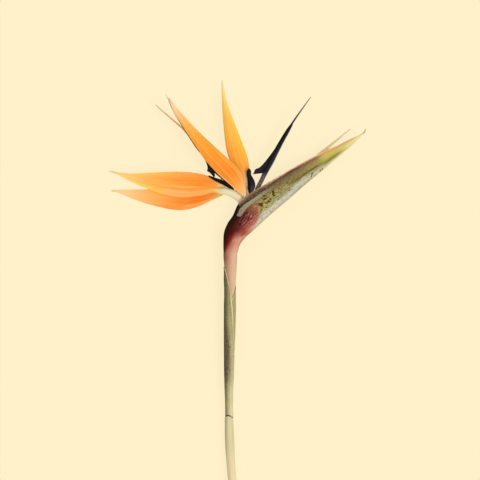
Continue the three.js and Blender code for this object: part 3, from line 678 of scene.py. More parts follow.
# Across the leaf, from keel to rim: whitish wax, olive gold, and the brown rim with its pale lip.
near = finish.ramp(
    up, (0, "ab9a80"), (0.035, "c2b69c"), (0.09, "cac5b2"), (0.17, "c6c4b2"), (0.25, "b2ab84"),
    (0.32, "a3944e"), (0.58, "93833f"), (0.68, "8a7a4a"), (0.77, "6a5640"), (0.85, "4c3626"),
    (0.9, "5c4030"), (0.945, "7e5a44"), (0.98, "9c7a60"), (1, "c09c7c"),
)
middle = finish.ramp(
    up, (0, "aba084"), (0.04, "beb79c"), (0.1, "c4c1b0"), (0.19, "bdbcac"), (0.27, "a39e80"),
    (0.33, "857a3c"), (0.5, "8c7c3e"), (0.62, "8f7f4a"), (0.74, "86704a"), (0.82, "74583f"),
    (0.865, "5f3a2a"), (0.895, "744434"), (0.925, "b08464"), (0.955, "dfba94"), (1, "f0d8b0"),
)
outer = finish.ramp(
    up, (0, "c3bc98"), (0.06, "cbc5a2"), (0.15, "b9b28c"), (0.24, "978e5e"), (0.33, "85793c"),
    (0.55, "a8954e"), (0.7, "a08a54"), (0.79, "97764e"), (0.85, "8a5f40"), (0.9, "a5745a"),
    (0.94, "dab08a"), (1, "f0d8b0"),
)
lime = finish.ramp(
    up, (0, "b9b790"), (0.07, "c9c79f"), (0.14, "a29d68"), (0.22, "7d7638"), (0.32, "948b42"),
    (0.46, "bdb24c"), (0.64, "cdbb5c"), (0.78, "d6b066"), (0.88, "d2a46c"), (0.94, "dcb284"),
    (1, "ecd0a2"),
)
beak = finish.ramp(
    up, (0, "bdb48c"), (0.1, "d3c888"), (0.35, "ddcf82"), (0.62, "e0cb80"), (0.8, "d9bb78"),
    (0.92, "c4a070"), (1, "b4946a"),
)
skin = near
grounds = ((0.36, 0.46, middle), (0.55, 0.66, outer), (0.68, 0.74, lime), (0.79, 0.88, beak))
for start, end, ground in grounds:
    skin = finish.mix(finish.step(forward, start, end), skin, ground)
skin = finish.tint(skin, "f2dcae", finish.step(ahead, 0.88, 0.95), 0.5)
skin = finish.tint(skin, "bba57c", finish.step(ahead, 0.962, 0.98))

# The waxy band is streaked and cracked; the gold above it is mottled with brown.
low_side = finish.both(finish.step(up, 0.34, 0.22), finish.step(ahead, 0.72, 0.66))
skin = finish.tint(skin, "74755f", finish.step(fine_streak, 0.53, 0.62), low_side, 0.7)
skin = finish.tint(
    skin, "d9d8ca", finish.step(streak, 0.5, 0.36), finish.step(up, 0.05, 0.12), low_side, 0.6,
)
dry = finish.both(
    finish.step(fine_streak, 0.47, 0.36), finish.step(ahead, 0.72, 0.6), finish.step(up, 0.36, 0.5),
)
skin = finish.tint(skin, "45331c", dry, 0.6)
patch = finish.both(finish.band(forward, 0.285, 0.48, 0.05), finish.band(up, 0.26, 0.56, 0.06))
gold = finish.ramp(mottle, (0.36, "4a3d16"), (0.44, "75652e"), (0.52, "a89856"), (0.64, "cabc7c"))
skin = finish.tint(skin, gold, patch, 0.85)
freckle = finish.noise(on_leaf, (0.5, 1, 1), detail=2, rough=0.7)
freckled = finish.both(
    finish.step(freckle, 0.56, 0.64), finish.band(ahead, 0.27, 0.66, 0.06),
    finish.band(up, 0.26, 0.72, 0.08),
)
skin = finish.tint(skin, "3f3314", freckled, 0.75)
grain = finish.noise(on_leaf, (0.85, 1.3, 1), detail=1, rough=0.6)
rough_part = finish.band(ahead, 0.24, 0.66, 0.08)
skin = finish.tint(skin, "cdc196", finish.step(grain, 0.54, 0.7), rough_part, 0.4)
skin = finish.tint(skin, "40371a", finish.step(grain, 0.46, 0.32), rough_part, 0.45)
seam_line = finish.ramp(
    ahead, (0.48, 0.45), (0.532, 0.42), (0.56, 0.405), (0.61, 0.43), (0.645, 0.42), (0.68, 0.4),
)
off_seam = finish.apart(finish.stray(rise, mottle, 0.05), seam_line)
crack = finish.both(finish.band(ahead, 0.51, 0.655, 0.03), finish.step(off_seam, 0.05, 0.015))
skin = finish.tint(skin, "57450c", crack, finish.step(streak, 0.3, 0.5), 0.85)
mossy = finish.both(finish.band(forward, 0.4, 0.5, 0.05), finish.band(up, 0.27, 0.4, 0.06))
skin = finish.tint(skin, "8f9068", mossy, 0.5)
band_line = finish.ramp(
    ahead, (0.17, 0.83), (0.21, 0.81), (0.24, 0.79), (0.265, 0.76), (0.32, 0.73), (0.375, 0.73),
    (0.445, 0.74),
)
band_half = finish.ramp(
    ahead, (0.199, 0), (0.207, 0.066), (0.24, 0.08), (0.265, 0.066), (0.32, 0.05), (0.38, 0.043),
    (0.44, 0.026), (0.5, 0),
)
off_band = finish.apart(finish.stray(rise, streak, 0.09), band_line)
above_band = finish.work("SUBTRACT", finish.work("SUBTRACT", rise, band_line), band_half)
shade_line = finish.both(
    finish.band(above_band, 0.015, 0.035, 0.025), finish.band(ahead, 0.24, 0.32, 0.05),
)
skin = finish.tint(skin, "33281c", shade_line, 0.7)
in_band = finish.step(
    finish.work("SUBTRACT", band_half, finish.stray(off_band, mottle, 0.06)), -0.03, 0.022,
)
in_band = finish.both(
    in_band, finish.step(finish.stray(ahead, mottle, 0.03), 0.198, 0.208),
    finish.step(ahead, 0.54, 0.48),
)
green_band = finish.both(in_band, finish.step(ahead, 0.47, 0.34))
green = finish.ramp(
    ahead, (0.19, "8a7064"), (0.235, "a08a78"), (0.28, "a09a7c"), (0.34, "a09e7e"), (0.5, "8f8660"),
)
green = finish.tint(green, "6f684c", finish.step(fine_streak, 0.5, 0.62), 0.55)
green = finish.tint(green, "b9b698", finish.step(grain, 0.5, 0.66), 0.45)
skin = finish.mix(green_band, skin, green)

# The neck end: maroon that ends in a slanting ragged edge. Towards its back, painted shade darkens it to
# nearly black.
edge = finish.ramp(
    rise, (0, 0.1), (0.07, 0.165), (0.16, 0.235), (0.43, 0.285), (0.6, 0.3), (0.66, 0.285),
    (0.73, 0.25), (0.88, 0.21), (0.95, 0.24),
)
# The maroon is the leaf's own; its fall to near black towards the back is painted shade.
maroon = finish.ramp(
    finish.stray(rise, streak, 0.2), (0, "a08a64"), (0.06, "c9a486"), (0.13, "be8a70"),
    (0.21, "a0544a"), (0.32, "7a2622"), (0.48, "5c1410"), (0.66, "48100b"), (0.82, "340c07"),
    (1, "160502"),
)
flecks = finish.noise(on_leaf, (0.19, 1.6, 1), detail=2, rough=0.65)
flecked = finish.both(
    finish.step(flecks, 0.5, 0.58),
    finish.ramp(rise, (0, 0.5), (0.12, 1), (0.42, 0.85), (0.6, 0.35), (0.8, 0)),
    finish.step(ahead, 0.115, 0.19),
)
tone = finish.mix(finish.step(ahead, 0.2, 0.27), "cf8f80", "cfa078")
maroon = finish.tint(maroon, tone, flecked, 0.8)
scorch = finish.both(
    finish.step(flecks, 0.46, 0.36), finish.step(ahead, 0.22, 0.27), finish.step(rise, 0.75, 0.55),
)
maroon = finish.tint(maroon, "b06f4c", scorch, 0.7)
upper_end = finish.both(
    finish.step(finish.stray(ahead, flecks, 0.08), 0.225, 0.3), finish.step(rise, 0.85, 0.6), 0.6,
)
maroon = finish.tint(maroon, "b2674c", upper_end)
ragged = finish.stray(finish.stray(ahead, fine_streak, 0.12), flecks, 0.1)
behind = finish.work("SUBTRACT", ragged, edge)
skin = finish.tint(skin, maroon, finish.step(behind, 0.02, -0.02), finish.work("SUBTRACT", 1.0, in_band))
flush = neck_colour(finish, finish.work("SUBTRACT", 1.0, rise), along)
neck_end = finish.ramp(
    rise, (0, 0.13), (0.2, 0.115), (0.45, 0.098), (0.6, 0.066), (0.8, 0.03), (0.92, 0.01),
)
past = finish.work("SUBTRACT", finish.stray(finish.stray(ahead, streak, 0.05), flecks, 0.03), neck_end)
# The blush also darkens towards the back as painted shade.
blush = finish.ramp(
    finish.stray(rise, streak, 0.2), (0, "b07a5a"), (0.2, "9c5040"), (0.5, "8c3a30"), (0.75, "6c1814"),
    (1, "2a0c0a"),
)
skin = finish.mix(finish.step(past, 0.055, 0.0), skin, blush)
flush = finish.tint(flush, "9c5142", finish.step(flecks, 0.5, 0.36), finish.step(ahead, 0.03, 0.1), 0.5)
flush = finish.tint(flush, "e0b59e", finish.step(flecks, 0.52, 0.64), finish.step(ahead, 0.02, 0.08), 0.5)
skin = finish.mix(finish.step(past, 0.02, -0.035), skin, flush)
red = finish.both(
    finish.band(finish.stray(rise, streak, 0.1), 0.67, 0.71, 0.13),
    finish.band(ahead, 0.07, 0.076, 0.035),
)
skin = finish.tint(skin, "74100b", red, 0.7)
ember = finish.both(finish.band(rise, 0.2, 0.24, 0.08), finish.band(ahead, 0.112, 0.122, 0.022))
skin = finish.tint(skin, "8f3020", ember, 0.7)
# Painted shade: the back of the neck end, laid over as near black.
leaning = finish.work("SUBTRACT", rise, finish.both(finish.step(ahead, 0.2, 0.1), 0.05))
shaded_back = finish.both(
    finish.step(leaning, 0.85, 0.94), finish.step(ahead, 0.268, 0.248), finish.step(ahead, 0.04, 0.12),
)
skin = finish.tint(skin, "1a0700", shaded_back)

# Bruises: dark spots and specks, each at its place along the leaf and up from the keel, in mm.
BRUISES = [
    (53.3, 11.5, 1.5), (52.4, 9.8, 1.2), (61.8, 15.4, 1), (60.1, 12.7, 1.2), (56.9, 9.4, 1),
    (59.3, 9.6, 0.9), (62.7, 10.1, 1), (69.5, 14.2, 1.1), (67.5, 10.8, 1.1), (61.5, 6.2, 0.6),
    (52.9, 6.7, 0.6), (68.5, 12.4, 1), (107.6, 5.5, 1), (105, 3.4, 0.9), (115.3, 2.1, 0.9),
    (117.5, 1.8, 0.8), (106.4, 4.4, 0.8), (81, 6, 0.6),
]
wander = finish.stray(0.0, mottle, 1.6)
dark = 0.0
for far, high, radius in BRUISES:
    along_it = finish.apart(finish.work("MULTIPLY", ahead, LEAF_LENGTH), far)
    across_it = finish.apart(finish.work("MULTIPLY", rise, LEAF_WIDTH), high)
    away = finish.work("ADD", finish.work("POWER", along_it, 2), finish.work("POWER", across_it, 2))
    away = finish.work("ADD", finish.work("SQRT", away), wander)
    dark = finish.work("MAXIMUM", dark, finish.step(away, radius * 1.3, radius * 0.6))
skin = finish.tint(skin, "2c2404", dark, 0.88)
lining = finish.step(ahead, 1.4, 1.6)
skin = finish.tint(skin, "cdb98a", lining)
finish.colour(skin)
relief = finish.work("ADD", streak, finish.work("MULTIPLY", mottle, 0.5))
finish.bump(finish.both(calm, relief), 0.0004)
dress(spathe, finish.material, "spathe", "spathe")

# ------------------------------------------------------------------ floret tubes
# The pale fleshy tube of each floret, which rises out of the slit and carries its sepals. The
# first bends over to the left; the second stays down inside the spathe.
CLAW_Y = 33.4
first_tube = limb(
    "first_floret_tube",
    [
        (0.4, 17.6, AXIS_Z, 2.4, 2.4), (1.8, 25, AXIS_Z, 2.5, 2.6), (2.3, 31, AXIS_Z, 2.9, 2.9),
        (0.75, 36, 9.2, 3.5, 3.1), (-3.1, 39.9, 9, 3.8, 3.2), (-7.8, 42.5, 8.8, 3.7, 3.3),
        (-11.5, 43.7, 8.8, 3.5, 3.3), (-14, 44, 8.6, 3.4, 3.1), (-17.6, 44.3, 8.3, 2.9, 2.5),
        (-21.5, 45, 8, 2.2, 1.8), (-26, 46, 7.9, 1.2, 1.2), (-29, 46.8, 7.8, 0.5, 0.6),
    ],
    sides=32, steps=56,
)
second_tube = limb(
    "second_floret_tube",
    [
        (6.2, 16.2, AXIS_Z, 2.3, 2.4), (7.9, 23, AXIS_Z, 2.5, 2.9), (9.6, 29.5, AXIS_Z, 2.9, 3.3),
        (9.8, CLAW_Y - 0.3, AXIS_Z, 3, 3.4),
    ],
    sides=28, steps=20,
)
finish = Finish("floret_tube_flesh", 0.5, 0.25)
up_it = finish.split(finish.uv)[1]
fibre = finish.noise(finish.uv, (24, 2, 1), detail=4)
flesh = finish.ramp(
    finish.stray(up_it, fibre, 0.1), (0, "d8caa0"), (0.5, "eadfba"), (0.72, "ebe0b6"), (0.82, "f0d78c"),
    (0.9, "f6bd5c"), (1, "f99c3c"),
)
flesh = finish.tint(flesh, "d3c48e", finish.step(fibre, 0.45, 0.72), 0.5)
finish.colour(flesh)
finish.bump(fibre, 0.0003)
dress(first_tube, finish.material, "cream", "first_floret_tube")
dress(second_tube, finish.material, "cream", "second_floret_tube")

# ------------------------------------------------------------------ sepals
# Six long pointed sepals, the orange of the flower: three to a floret. Each is a thin waxy blade
# with a blunt keel and fine veins, laid row by row between its two margins.
PETAL = 0.65  # how thick a blade is
RIPPLE = 0.03  # how high the ripple of its veins is, as a share of its keel


def eased(values, steps):
    """Evenly spaced values on a smooth curve through the given ones."""
    return smooth([(k, 0, 0, value) for k, value in enumerate(values)], steps)[:, 3]


def petal(name, first, second, crown, fold=0.5, columns=28, rows=56):
    """A thin blade between two margins in drawing millimetres, its keel raised by crown."""
    piece = flat_grid(name, columns, rows)
    mesh = bmesh.from_edit_mesh(piece.data)
    for line in lines_of(mesh, 0):
        u = line[0].co.x + 0.5
        away = (fold - u) / fold if u < fold else (u - fold) / (1 - fold)
        vein = RIPPLE * math.cos(u * columns * math.pi) * (1 - away ** 4)
        pick(line)
        bpy.ops.transform.translate(value=(0, 0, 1 - away ** 1.4 + vein))
    margins = smooth(first, rows), smooth(second, rows)
    ahead = np.gradient(margins[0], axis=0) + np.gradient(margins[1], axis=0)
    for row, start, end, rise, way in zip(lines_of(mesh, 1), *margins, eased(crown, rows), ahead):
        across = Vector(end - start)
        up = across.cross(Vector(way)).normalized()
        place = on_drawing(*((start + end) / 2))
        lay_row(row, across.length * MM, rise * MM, across.normalized(), up, place)
    bpy.ops.object.mode_set(mode="OBJECT")
    harden(piece, "SOLIDIFY", thickness=PETAL * MM, offset=0)
    harden(piece, "SUBSURF", levels=1, render_levels=1)
    return piece


def sepal_finish(
    name, heart, first_margin, second_margin, widths=(0.3, 0.3), claw="efdfb0", claw_share=0.1,
    bare=0.0, painted_fold_lines=(),
):
    """Orange wax with fine veins, its own colours from base to tip at the heart and each margin, and
    painted highlights and painted shade along its folds.
    """
    finish = Finish(name, 0.45, 0.15)
    across, up_it, _ = finish.split(finish.uv)
    veins = finish.noise(finish.uv, (28, 1.6, 1), detail=3)
    hairs = finish.noise(finish.uv, (70, 4, 1), detail=1)
    ribs = finish.noise(finish.uv, (9, 1.2, 1), detail=2)
    clouds = finish.noise(finish.uv, (3, 4, 1), detail=3)
    calm = finish.step(up_it, 0.92, 0.6)
    drift = finish.stray(finish.stray(up_it, clouds, 0.16), veins, finish.both(calm, 0.14))
    wander = finish.stray(across, clouds, finish.both(calm, 0.14))
    skin = finish.ramp(drift, *heart)
    near_first = finish.step(wander, widths[0], 0)
    skin = finish.mix(near_first, skin, finish.ramp(drift, *first_margin))
    near_second = finish.step(wander, 1 - widths[1], 1)
    skin = finish.mix(near_second, skin, finish.ramp(drift, *second_margin))
    calm = finish.both(calm, finish.step(up_it, bare, bare + 0.1))
    skin = finish.tint(skin, "f28218", finish.step(veins, 0.5, 0.32), calm, 0.42)
    skin = finish.tint(skin, "ffb85c", finish.step(veins, 0.52, 0.7), calm, 0.36)
    skin = finish.tint(skin, "ffae48", finish.step(ribs, 0.5, 0.7), calm, 0.28)
    skin = finish.tint(skin, "ffd08a", finish.step(hairs, 0.58, 0.72), calm, 0.22)
    # Painted highlights and painted shade: light or darker lines along the blade's folds, where a crease
    # catches or loses the light.
    for place, breadth, start, end, tone in painted_fold_lines:
        core = breadth / 3
        line = finish.band(finish.stray(across, clouds, 0.04), place - core, place + core, breadth)
        skin = finish.tint(
            skin, tone, line, finish.band(up_it, start, end, 0.12), finish.step(veins, 0.3, 0.6), 0.75,
        )
    skin = finish.mix(finish.step(finish.stray(up_it, veins, claw_share), claw_share, 0.0), skin, claw)
    finish.colour(skin)
    finish.bump(finish.both(calm, finish.work("ADD", veins, ribs)), 0.00035)
    finish.shader.inputs["Subsurface Weight"].default_value = 0.2
    finish.shader.inputs["Subsurface Scale"].default_value = 0.0012
    return finish.material


upper_sepal = petal(
    "first_sepal_upper",
    [
        (-12.6, 48, 9.4), (-16.5, 50.4, 10), (-20.6, 53, 10.8), (-28.1, 57.4, 12.2), (-37.2, 59.9, 13),
        (-50, 61.3, 13.4), (-60, 61.5, 13.2), (-72, 61, 12.6), (-84, 60.4, 11.8), (-97, 60, 10.8),
        (-110, 60.7, 9.6), (-117.7, 62.7, 9),
    ],
    [
        (-13, 40.8, 9.2), (-18, 42.2, 9.6), (-24, 42.9, 9.7), (-32.9, 40.8, 9.3), (-45.8, 38.7, 9),
        (-56, 38.8, 9), (-70.6, 41.5, 9.2), (-81.5, 45.6, 9.6), (-91, 49.2, 9.8), (-100.7, 53.7, 9.6),
        (-109, 58.4, 9.3), (-117.5, 61.8, 9),
    ],
    crown=[2.9, 2.4, 2.5, 2.7, 2.6, 2.2, 1.6, 1, 0.3], fold=0.45,
)
upper_wax = sepal_finish(
    "upper_sepal_skin",
    [
        (0, "e9ddb4"), (0.045, "ead494"), (0.075, "efb85c"), (0.11, "f69e38"), (0.2, "fa8c28"),
        (0.4, "fb9c3a"), (0.6, "fcb04e"), (0.8, "fbc66e"), (0.93, "f1ce8a"), (1, "dccfa8"),
    ],
    [
        (0, "f0cf7c"), (0.05, "f7a844"), (0.15, "f8923a"), (0.4, "faac50"), (0.65, "f7c85c"),
        (0.9, "efd48c"), (1, "dfd0a0"),
    ],
    [
        (0, "e9ddb4"), (0.06, "ecd894"), (0.1, "f4c868"), (0.16, "fabb58"), (0.24, "fbb05a"),
        (0.45, "feb670"), (0.6, "fccb4e"), (0.68, "fad060"), (0.85, "f5d084"), (1, "e2cf9e"),
    ],
    widths=(0.28, 0.34), claw="ecdfb2", claw_share=0.05,
    painted_fold_lines=[
        (0.76, 0.07, 0.09, 0.2, "ffc24e"), (0.62, 0.04, 0.26, 0.5, "ffb868"),
        (0.34, 0.03, 0.12, 0.5, "f5882a"), (0.8, 0.05, 0.15, 0.45, "ffc080"),
    ],
)
dress(upper_sepal, upper_wax, "orange", "first_sepal_upper")

lower_first = [
    (-14.5, 44.6, 6.9), (-24, 47, 6.9), (-37, 48.6, 6.4), (-52, 49.4, 5.8), (-66, 48.3, 5.2),
    (-81.5, 45.9, 4.6), (-98.7, 45.4, 3.8), (-109, 45.1, 3.4), (-116, 44.8, 3.2),
]
lower_second = [
    (-14.5, 40.9, 6.8), (-17.8, 39.1, 6.3), (-24.2, 36.3, 5.2), (-30.2, 33.3, 3.8), (-37.2, 30.3, 2.4),
    (-45.8, 27.8, 1.2), (-55, 26.9, 0.7), (-64.5, 28, 0.6), (-82.6, 32.4, 1.2), (-93.1, 35.8, 1.8),
    (-102.7, 39.7, 2.5), (-110.8, 43, 3), (-116, 43.9, 3.2),
]
lower_sepal = petal(
    "first_sepal_lower", lower_first, lower_second, crown=[0.4, 1.2, 1.8, 2, 1.6, 1, 0.3], fold=0.55,
)
lower_wax = sepal_finish(
    "lower_sepal_skin",
    [
        (0, "d9c47c"), (0.05, "e5b460"), (0.1, "f39434"), (0.22, "f68418"), (0.4, "f7942c"),
        (0.6, "fbb258"), (0.78, "fbc47e"), (0.93, "f0d096"), (1, "dccba0"),
    ],
    [(0, "c9b06a"), (0.1, "e8a04c"), (0.3, "f08c2e"), (0.6, "f3ac60"), (0.85, "f0cc8c"), (1, "dccba0")],
    [
        (0, "cbb46c"), (0.06, "dcb868"), (0.12, "f6bc72"), (0.25, "f9a24a"), (0.5, "ea9038"),
        (0.75, "f9bc74"), (1, "e6cfa0"),
    ],
    widths=(0.3, 0.22), claw="cdbb7c", claw_share=0.05,
    painted_fold_lines=[(0.86, 0.03, 0.08, 0.3, "fcc884"), (0.5, 0.03, 0.2, 0.7, "ffbc70")],
)
dress(lower_sepal, lower_wax, "orange", "first_sepal_lower")

# The line that this one follows on its edge, with the heights of its low and its high margin.
EDGE_SEPAL_PATH = [
    (-14.7, 46.2, 7.9, 9), (-15.4, 50, 6.8, 9.4), (-16.6, 54.5, 5.4, 9.8), (-19.8, 60, 4.6, 10.2),
    (-24, 66.5, 3.8, 10.7), (-29, 72.8, 3.2, 11), (-34.5, 79.5, 2.8, 11.2), (-43.6, 90.5, 2.6, 11.2),
    (-52.2, 100.2, 3, 10.8), (-59.5, 106.6, 3.7, 10.2), (-66.6, 112.9, 4.8, 9.4),
    (-72.2, 117.8, 5.9, 8.4), (-76.3, 122, 6.8, 7.6),
]
edge_sepal = petal(
    "first_sepal_on_edge", [(x, y, low) for x, y, low, _ in EDGE_SEPAL_PATH],
    [(x, y, high) for x, y, _, high in EDGE_SEPAL_PATH],
    crown=[-0.2, -0.6, -1.2, -1.3, -1.2, -0.8, -0.2],
)
edge_wax = sepal_finish(
    "edge_sepal_skin",
    [
        (0, "f0c070"), (0.2, "fb9a3c"), (0.45, "f5ae62"), (0.62, "e6be88"), (0.8, "dabf8a"),
        (1, "cdbc90"),
    ],
    [(0, "e9b968"), (0.4, "eab06a"), (0.62, "dfba82"), (1, "cdbc90")],
    [(0, "f3c878"), (0.4, "f3b870"), (0.62, "e2be88"), (1, "cdbc90")],
)
dress(edge_sepal, edge_wax, "orange", "first_sepal_on_edge")

front_sepal = petal(
    "second_sepal_front",
    [
        (7, CLAW_Y + 0.3, 11.2), (3.7, 38.6, 12.6), (-0.2, 41.8, 13.5), (-6, 46.9, 15.8),
        (-10.8, 51.2, 16.6), (-16.7, 56.2, 17.2), (-22.6, 62, 17.7), (-32.3, 73, 18.8),
        (-37.3, 80.4, 20), (-44.5, 91.2, 21.6), (-52.7, 104, 23.6), (-60.2, 116, 25.6),
        (-63.9, 127.2, 27.6),
    ],
    [
        (9.1, CLAW_Y + 0.3, 11.2), (5.8, 39.6, 13.2), (5, 47.3, 14.4), (3.2, 54.2, 14.9),
        (0, 61.8, 15.2), (-4.8, 67.7, 15.5), (-11.2, 73.6, 16), (-21.1, 82.5, 17.2), (-30.9, 91.4, 19),
        (-40.5, 100.9, 21.4), (-49.4, 110.5, 24), (-57.1, 119.2, 26), (-63, 127.5, 27.6),
    ],
    crown=[0.3, 0.8, 1.8, 2.6, 2.8, 2.4, 1.6, 0.8, 0.2], fold=0.34, rows=64,
)
front_wax = sepal_finish(
    "front_sepal_skin",
    [
        (0, "efdcaa"), (0.1, "f1bf7c"), (0.17, "f39a38"), (0.27, "f18414"), (0.45, "f5931f"),
        (0.62, "faa22c"), (0.78, "fab658"), (0.88, "f5c48c"), (0.95, "eccca0"), (1, "d2bd98"),
    ],
    [
        (0, "f1dfae"), (0.12, "f9bc74"), (0.3, "f9a64e"), (0.45, "f99632"), (0.7, "f0a040"),
        (1, "cfae88"),
    ],
    [
        (0, "f3e2b4"), (0.12, "f3b868"), (0.28, "f99e36"), (0.42, "eca840"), (0.52, "d2a840"),
        (0.6, "cbae4c"), (0.7, "dcbb66"), (0.86, "f0c690"), (1, "dcc29c"),
    ],
    widths=(0.12, 0.3),
    painted_fold_lines=[
        (0.33, 0.03, 0.12, 0.62, "ffbe64"), (0.8, 0.022, 0.02, 0.32, "ffcf88"),
        (0.05, 0.025, 0.02, 0.25, "fccb90"), (0.68, 0.02, 0.5, 0.85, "f08f2c"),
    ],
)
dress(front_sepal, front_wax, "orange", "second_sepal_front")

tall_sepal = petal(
    "second_sepal_tall",
    [
        (7.6, CLAW_Y, 8.3), (4.6, 41.5, 8.2), (0, 52, 8), (-5, 62, 8.2), (-9.4, 72, 8.6),
        (-11.9, 80, 9), (-13.6, 91, 9.6), (-14.9, 104, 10.2), (-15.9, 118, 10.8), (-16.4, 131.4, 11.4),
        (-16.4, 143.9, 12),
    ],
    [
        (10, CLAW_Y, 8.3), (8.4, 43, 12.4), (8.4, 54, 12.6), (8.5, 64.5, 11), (6.8, 74.3, 9.6),
        (4.4, 81.5, 8.8), (-0.4, 93.5, 9.6), (-5.3, 106.4, 10.4), (-10.1, 119.3, 11.2),
        (-13.7, 132.3, 11.8), (-15.8, 144, 12),
    ],
    crown=[0.2, 0.6, 1.6, 2.4, 2.4, 1.8, 1, 0.3], fold=0.55, rows=60,
)
# Its first margin is darker orange-brown, painted shade on the blade's tilted left edge; its second
# margin is cream at the base, lightened nearly to white as painted light for the shaded strip beside the
# hood.
tall_wax = sepal_finish(
    "tall_sepal_skin",
    [
        (0, "f9efd0"), (0.18, "f7deac"), (0.27, "f6a838"), (0.45, "fbb038"), (0.6, "fbbf48"),
        (0.8, "f9ca62"), (0.92, "f2d488"), (1, "e6d5a4"),
    ],
    [(0, "efe0b0"), (0.2, "f0ac4c"), (0.4, "de8a2a"), (0.7, "e6a440"), (0.85, "ecc268"), (1, "e6d5a4")],
    [
        (0, "fff6dc"), (0.12, "fbeec4"), (0.18, "e3bf66"), (0.25, "d49c3c"), (0.34, "e8ae48"),
        (0.48, "f7c026"), (0.7, "f5c956"), (0.88, "f0d88c"), (1, "e6d29a"),
    ],
    widths=(0.14, 0.3), claw="fdf3d4", bare=0.1,
    painted_fold_lines=[
        (0.4, 0.025, 0.35, 0.85, "ffca6c"), (0.2, 0.02, 0.3, 0.75, "e08a26"),
        (0.62, 0.02, 0.3, 0.7, "ee9c2c"),
    ],
)
dress(tall_sepal, tall_wax, "orange", "second_sepal_tall")

hidden_sepal = petal(
    "second_sepal_hidden",
    [
        (7.4, CLAW_Y, 6.6), (4, 42, 5.9), (-5, 51.4, 5.2), (-13.6, 60, 4.6), (-23, 71, 4.2),
        (-32.5, 83, 4.2), (-42.4, 97.8, 5),
    ],
    [
        (9.8, CLAW_Y, 6.6), (6.8, 43, 5.9), (2, 54, 5.2), (-5, 64, 4.8), (-14.4, 75, 4.6),
        (-26.4, 87, 4.6), (-41.6, 98.3, 5),
    ],
    crown=[-0.1, -0.4, -1.2, -1.6, -1.4, -0.8, -0.2],
)
hidden_wax = sepal_finish(
    "hidden_sepal_skin",
    [(0, "e8d6a4"), (0.15, "f3a04a"), (0.4, "f88f2e"), (0.8, "fbb04c"), (1, "ecc98c")],
    [(0, "e8d6a4"), (0.5, "f3a648"), (1, "e6c98c")], [(0, "e8d6a4"), (0.5, "f3a648"), (1, "e6c98c")],
    widths=(0.2, 0.2),
)
dress(hidden_sepal, hidden_wax, "orange", "second_sepal_hidden")

# ------------------------------------------------------------------ dark petals
# The blue-black petals. The small one of each floret is a hood at the tube's mouth, and the two
# long ones are folded together round the style as an arrow with lobes that point backwards.
def dark_finish(name, painted_sheen):
    """Blue-black velvet, with a painted violet sheen of the given strength towards its second margin."""
    finish = Finish(name, 0.5, 0.12)
    across, up_it, _ = finish.split(finish.uv)
    fibre = finish.noise(finish.uv, (14, 2, 1), detail=3)
    skin = finish.mix(finish.step(fibre, 0.45, 0.75), "080608", "1c181c")
    # Painted sheen: a violet highlight towards the second margin, on the side that faces the light.
    seen = finish.band(finish.stray(across, fibre, 0.1), 0.5, 0.86, 0.14)
    skin = finish.tint(skin, "3b3644", seen, finish.step(up_it, 0.62, 0.36), painted_sheen)
    finish.colour(skin)
    finish.bump(fibre, 0.0003)
    return finish.material


def shaft_finish(name, ribbed):
    """Blue-black with a painted violet highlight along one side, and fine slanting ribs up to the ribbed
    share.
    """
    finish = Finish(name, 0.48, 0.12)
    round_it, up_it, _ = finish.split(finish.uv)
    fibre = finish.noise(finish.uv, (20, 3, 1), detail=4)
    skin = finish.mix(finish.step(fibre, 0.45, 0.75), "080608", "1c1920")
    # Painted highlight: the violet line along the keel, on the side that faces the light.
    keel = finish.both(
        finish.band(finish.stray(round_it, fibre, 0.05), 0.3, 0.34, 0.05),
        finish.step(up_it, 0.02, 0.2),
    )
    skin = finish.tint(skin, "77708a", keel, 0.8)
    climb = finish.work("MULTIPLY", up_it, 330.0)
    slant = finish.work("MULTIPLY", round_it, 40.0)
    ribs = finish.work("SINE", finish.work("ADD", climb, slant))
    seen = finish.both(finish.step(ribs, -0.2, 0.7), finish.step(up_it, ribbed + 0.06, ribbed - 0.02))
    skin = finish.tint(skin, "8a8089", seen, 0.85)
    base = finish.step(finish.stray(up_it, fibre, 0.1), ribbed * 0.75, ribbed * 0.4)
    skin = finish.tint(skin, "94806f", base, 0.7)
    finish.colour(skin)
    finish.bump(fibre, 0.0003)
    return finish.material


def thread_finish(name, *tones):
    """The style's thread, whose colour changes from its root to its tip."""
    finish = Finish(name, 0.55, 0.2)
    finish.colour(finish.ramp(finish.split(finish.uv)[1], *tones))
    return finish.material


first_hood = petal(
    "first_petal_hood",
    [
        (-5.2, 45.9, 13.2), (-11, 51, 13.5), (-16.7, 54.2, 13.6), (-23.7, 56.5, 14.2),
        (-28.2, 58.2, 14.6),
    ],
    [
        (-5.8, 45, 12.6), (-8.6, 46.1, 12.8), (-11.8, 47.5, 13), (-15.2, 49.6, 13.2),
        (-19.4, 51.5, 13.4), (-25.4, 55, 14.1), (-28.4, 57.3, 14.5),
    ],
    crown=[0.2, 0.5, 0.6, 0.5, 0.2], columns=12, rows=28,
)
dress(first_hood, dark_finish("first_hood_skin", 0.0), "blue", "first_petal_hood")
second_hood = petal(
    "second_petal_hood",
    [
        (10.1, CLAW_Y, 12.3), (9.3, 40.1, 13), (6.9, 45, 13.5), (6.8, 50.4, 13.8), (6.5, 54.9, 13.9),
        (5.9, 58.5, 13.8), (6, 61.7, 14.1), (7.7, 64.2, 14.2),
    ],
    [
        (11.7, CLAW_Y, 12), (11, 40.3, 12.5), (12.4, 44.6, 12.8), (13.8, 47.7, 12.9), (13.3, 52.2, 13),
        (11.4, 56.3, 13.3), (10, 58.7, 13.6), (10, 62, 14), (8.6, 64.2, 14.1),
    ],
    crown=[0.1, 0.6, 1.3, 1.3, 1.1, 0.9, 0.3], fold=0.35, columns=14, rows=40,
)
dress(second_hood, dark_finish("second_hood_skin", 0.85), "blue", "second_petal_hood")


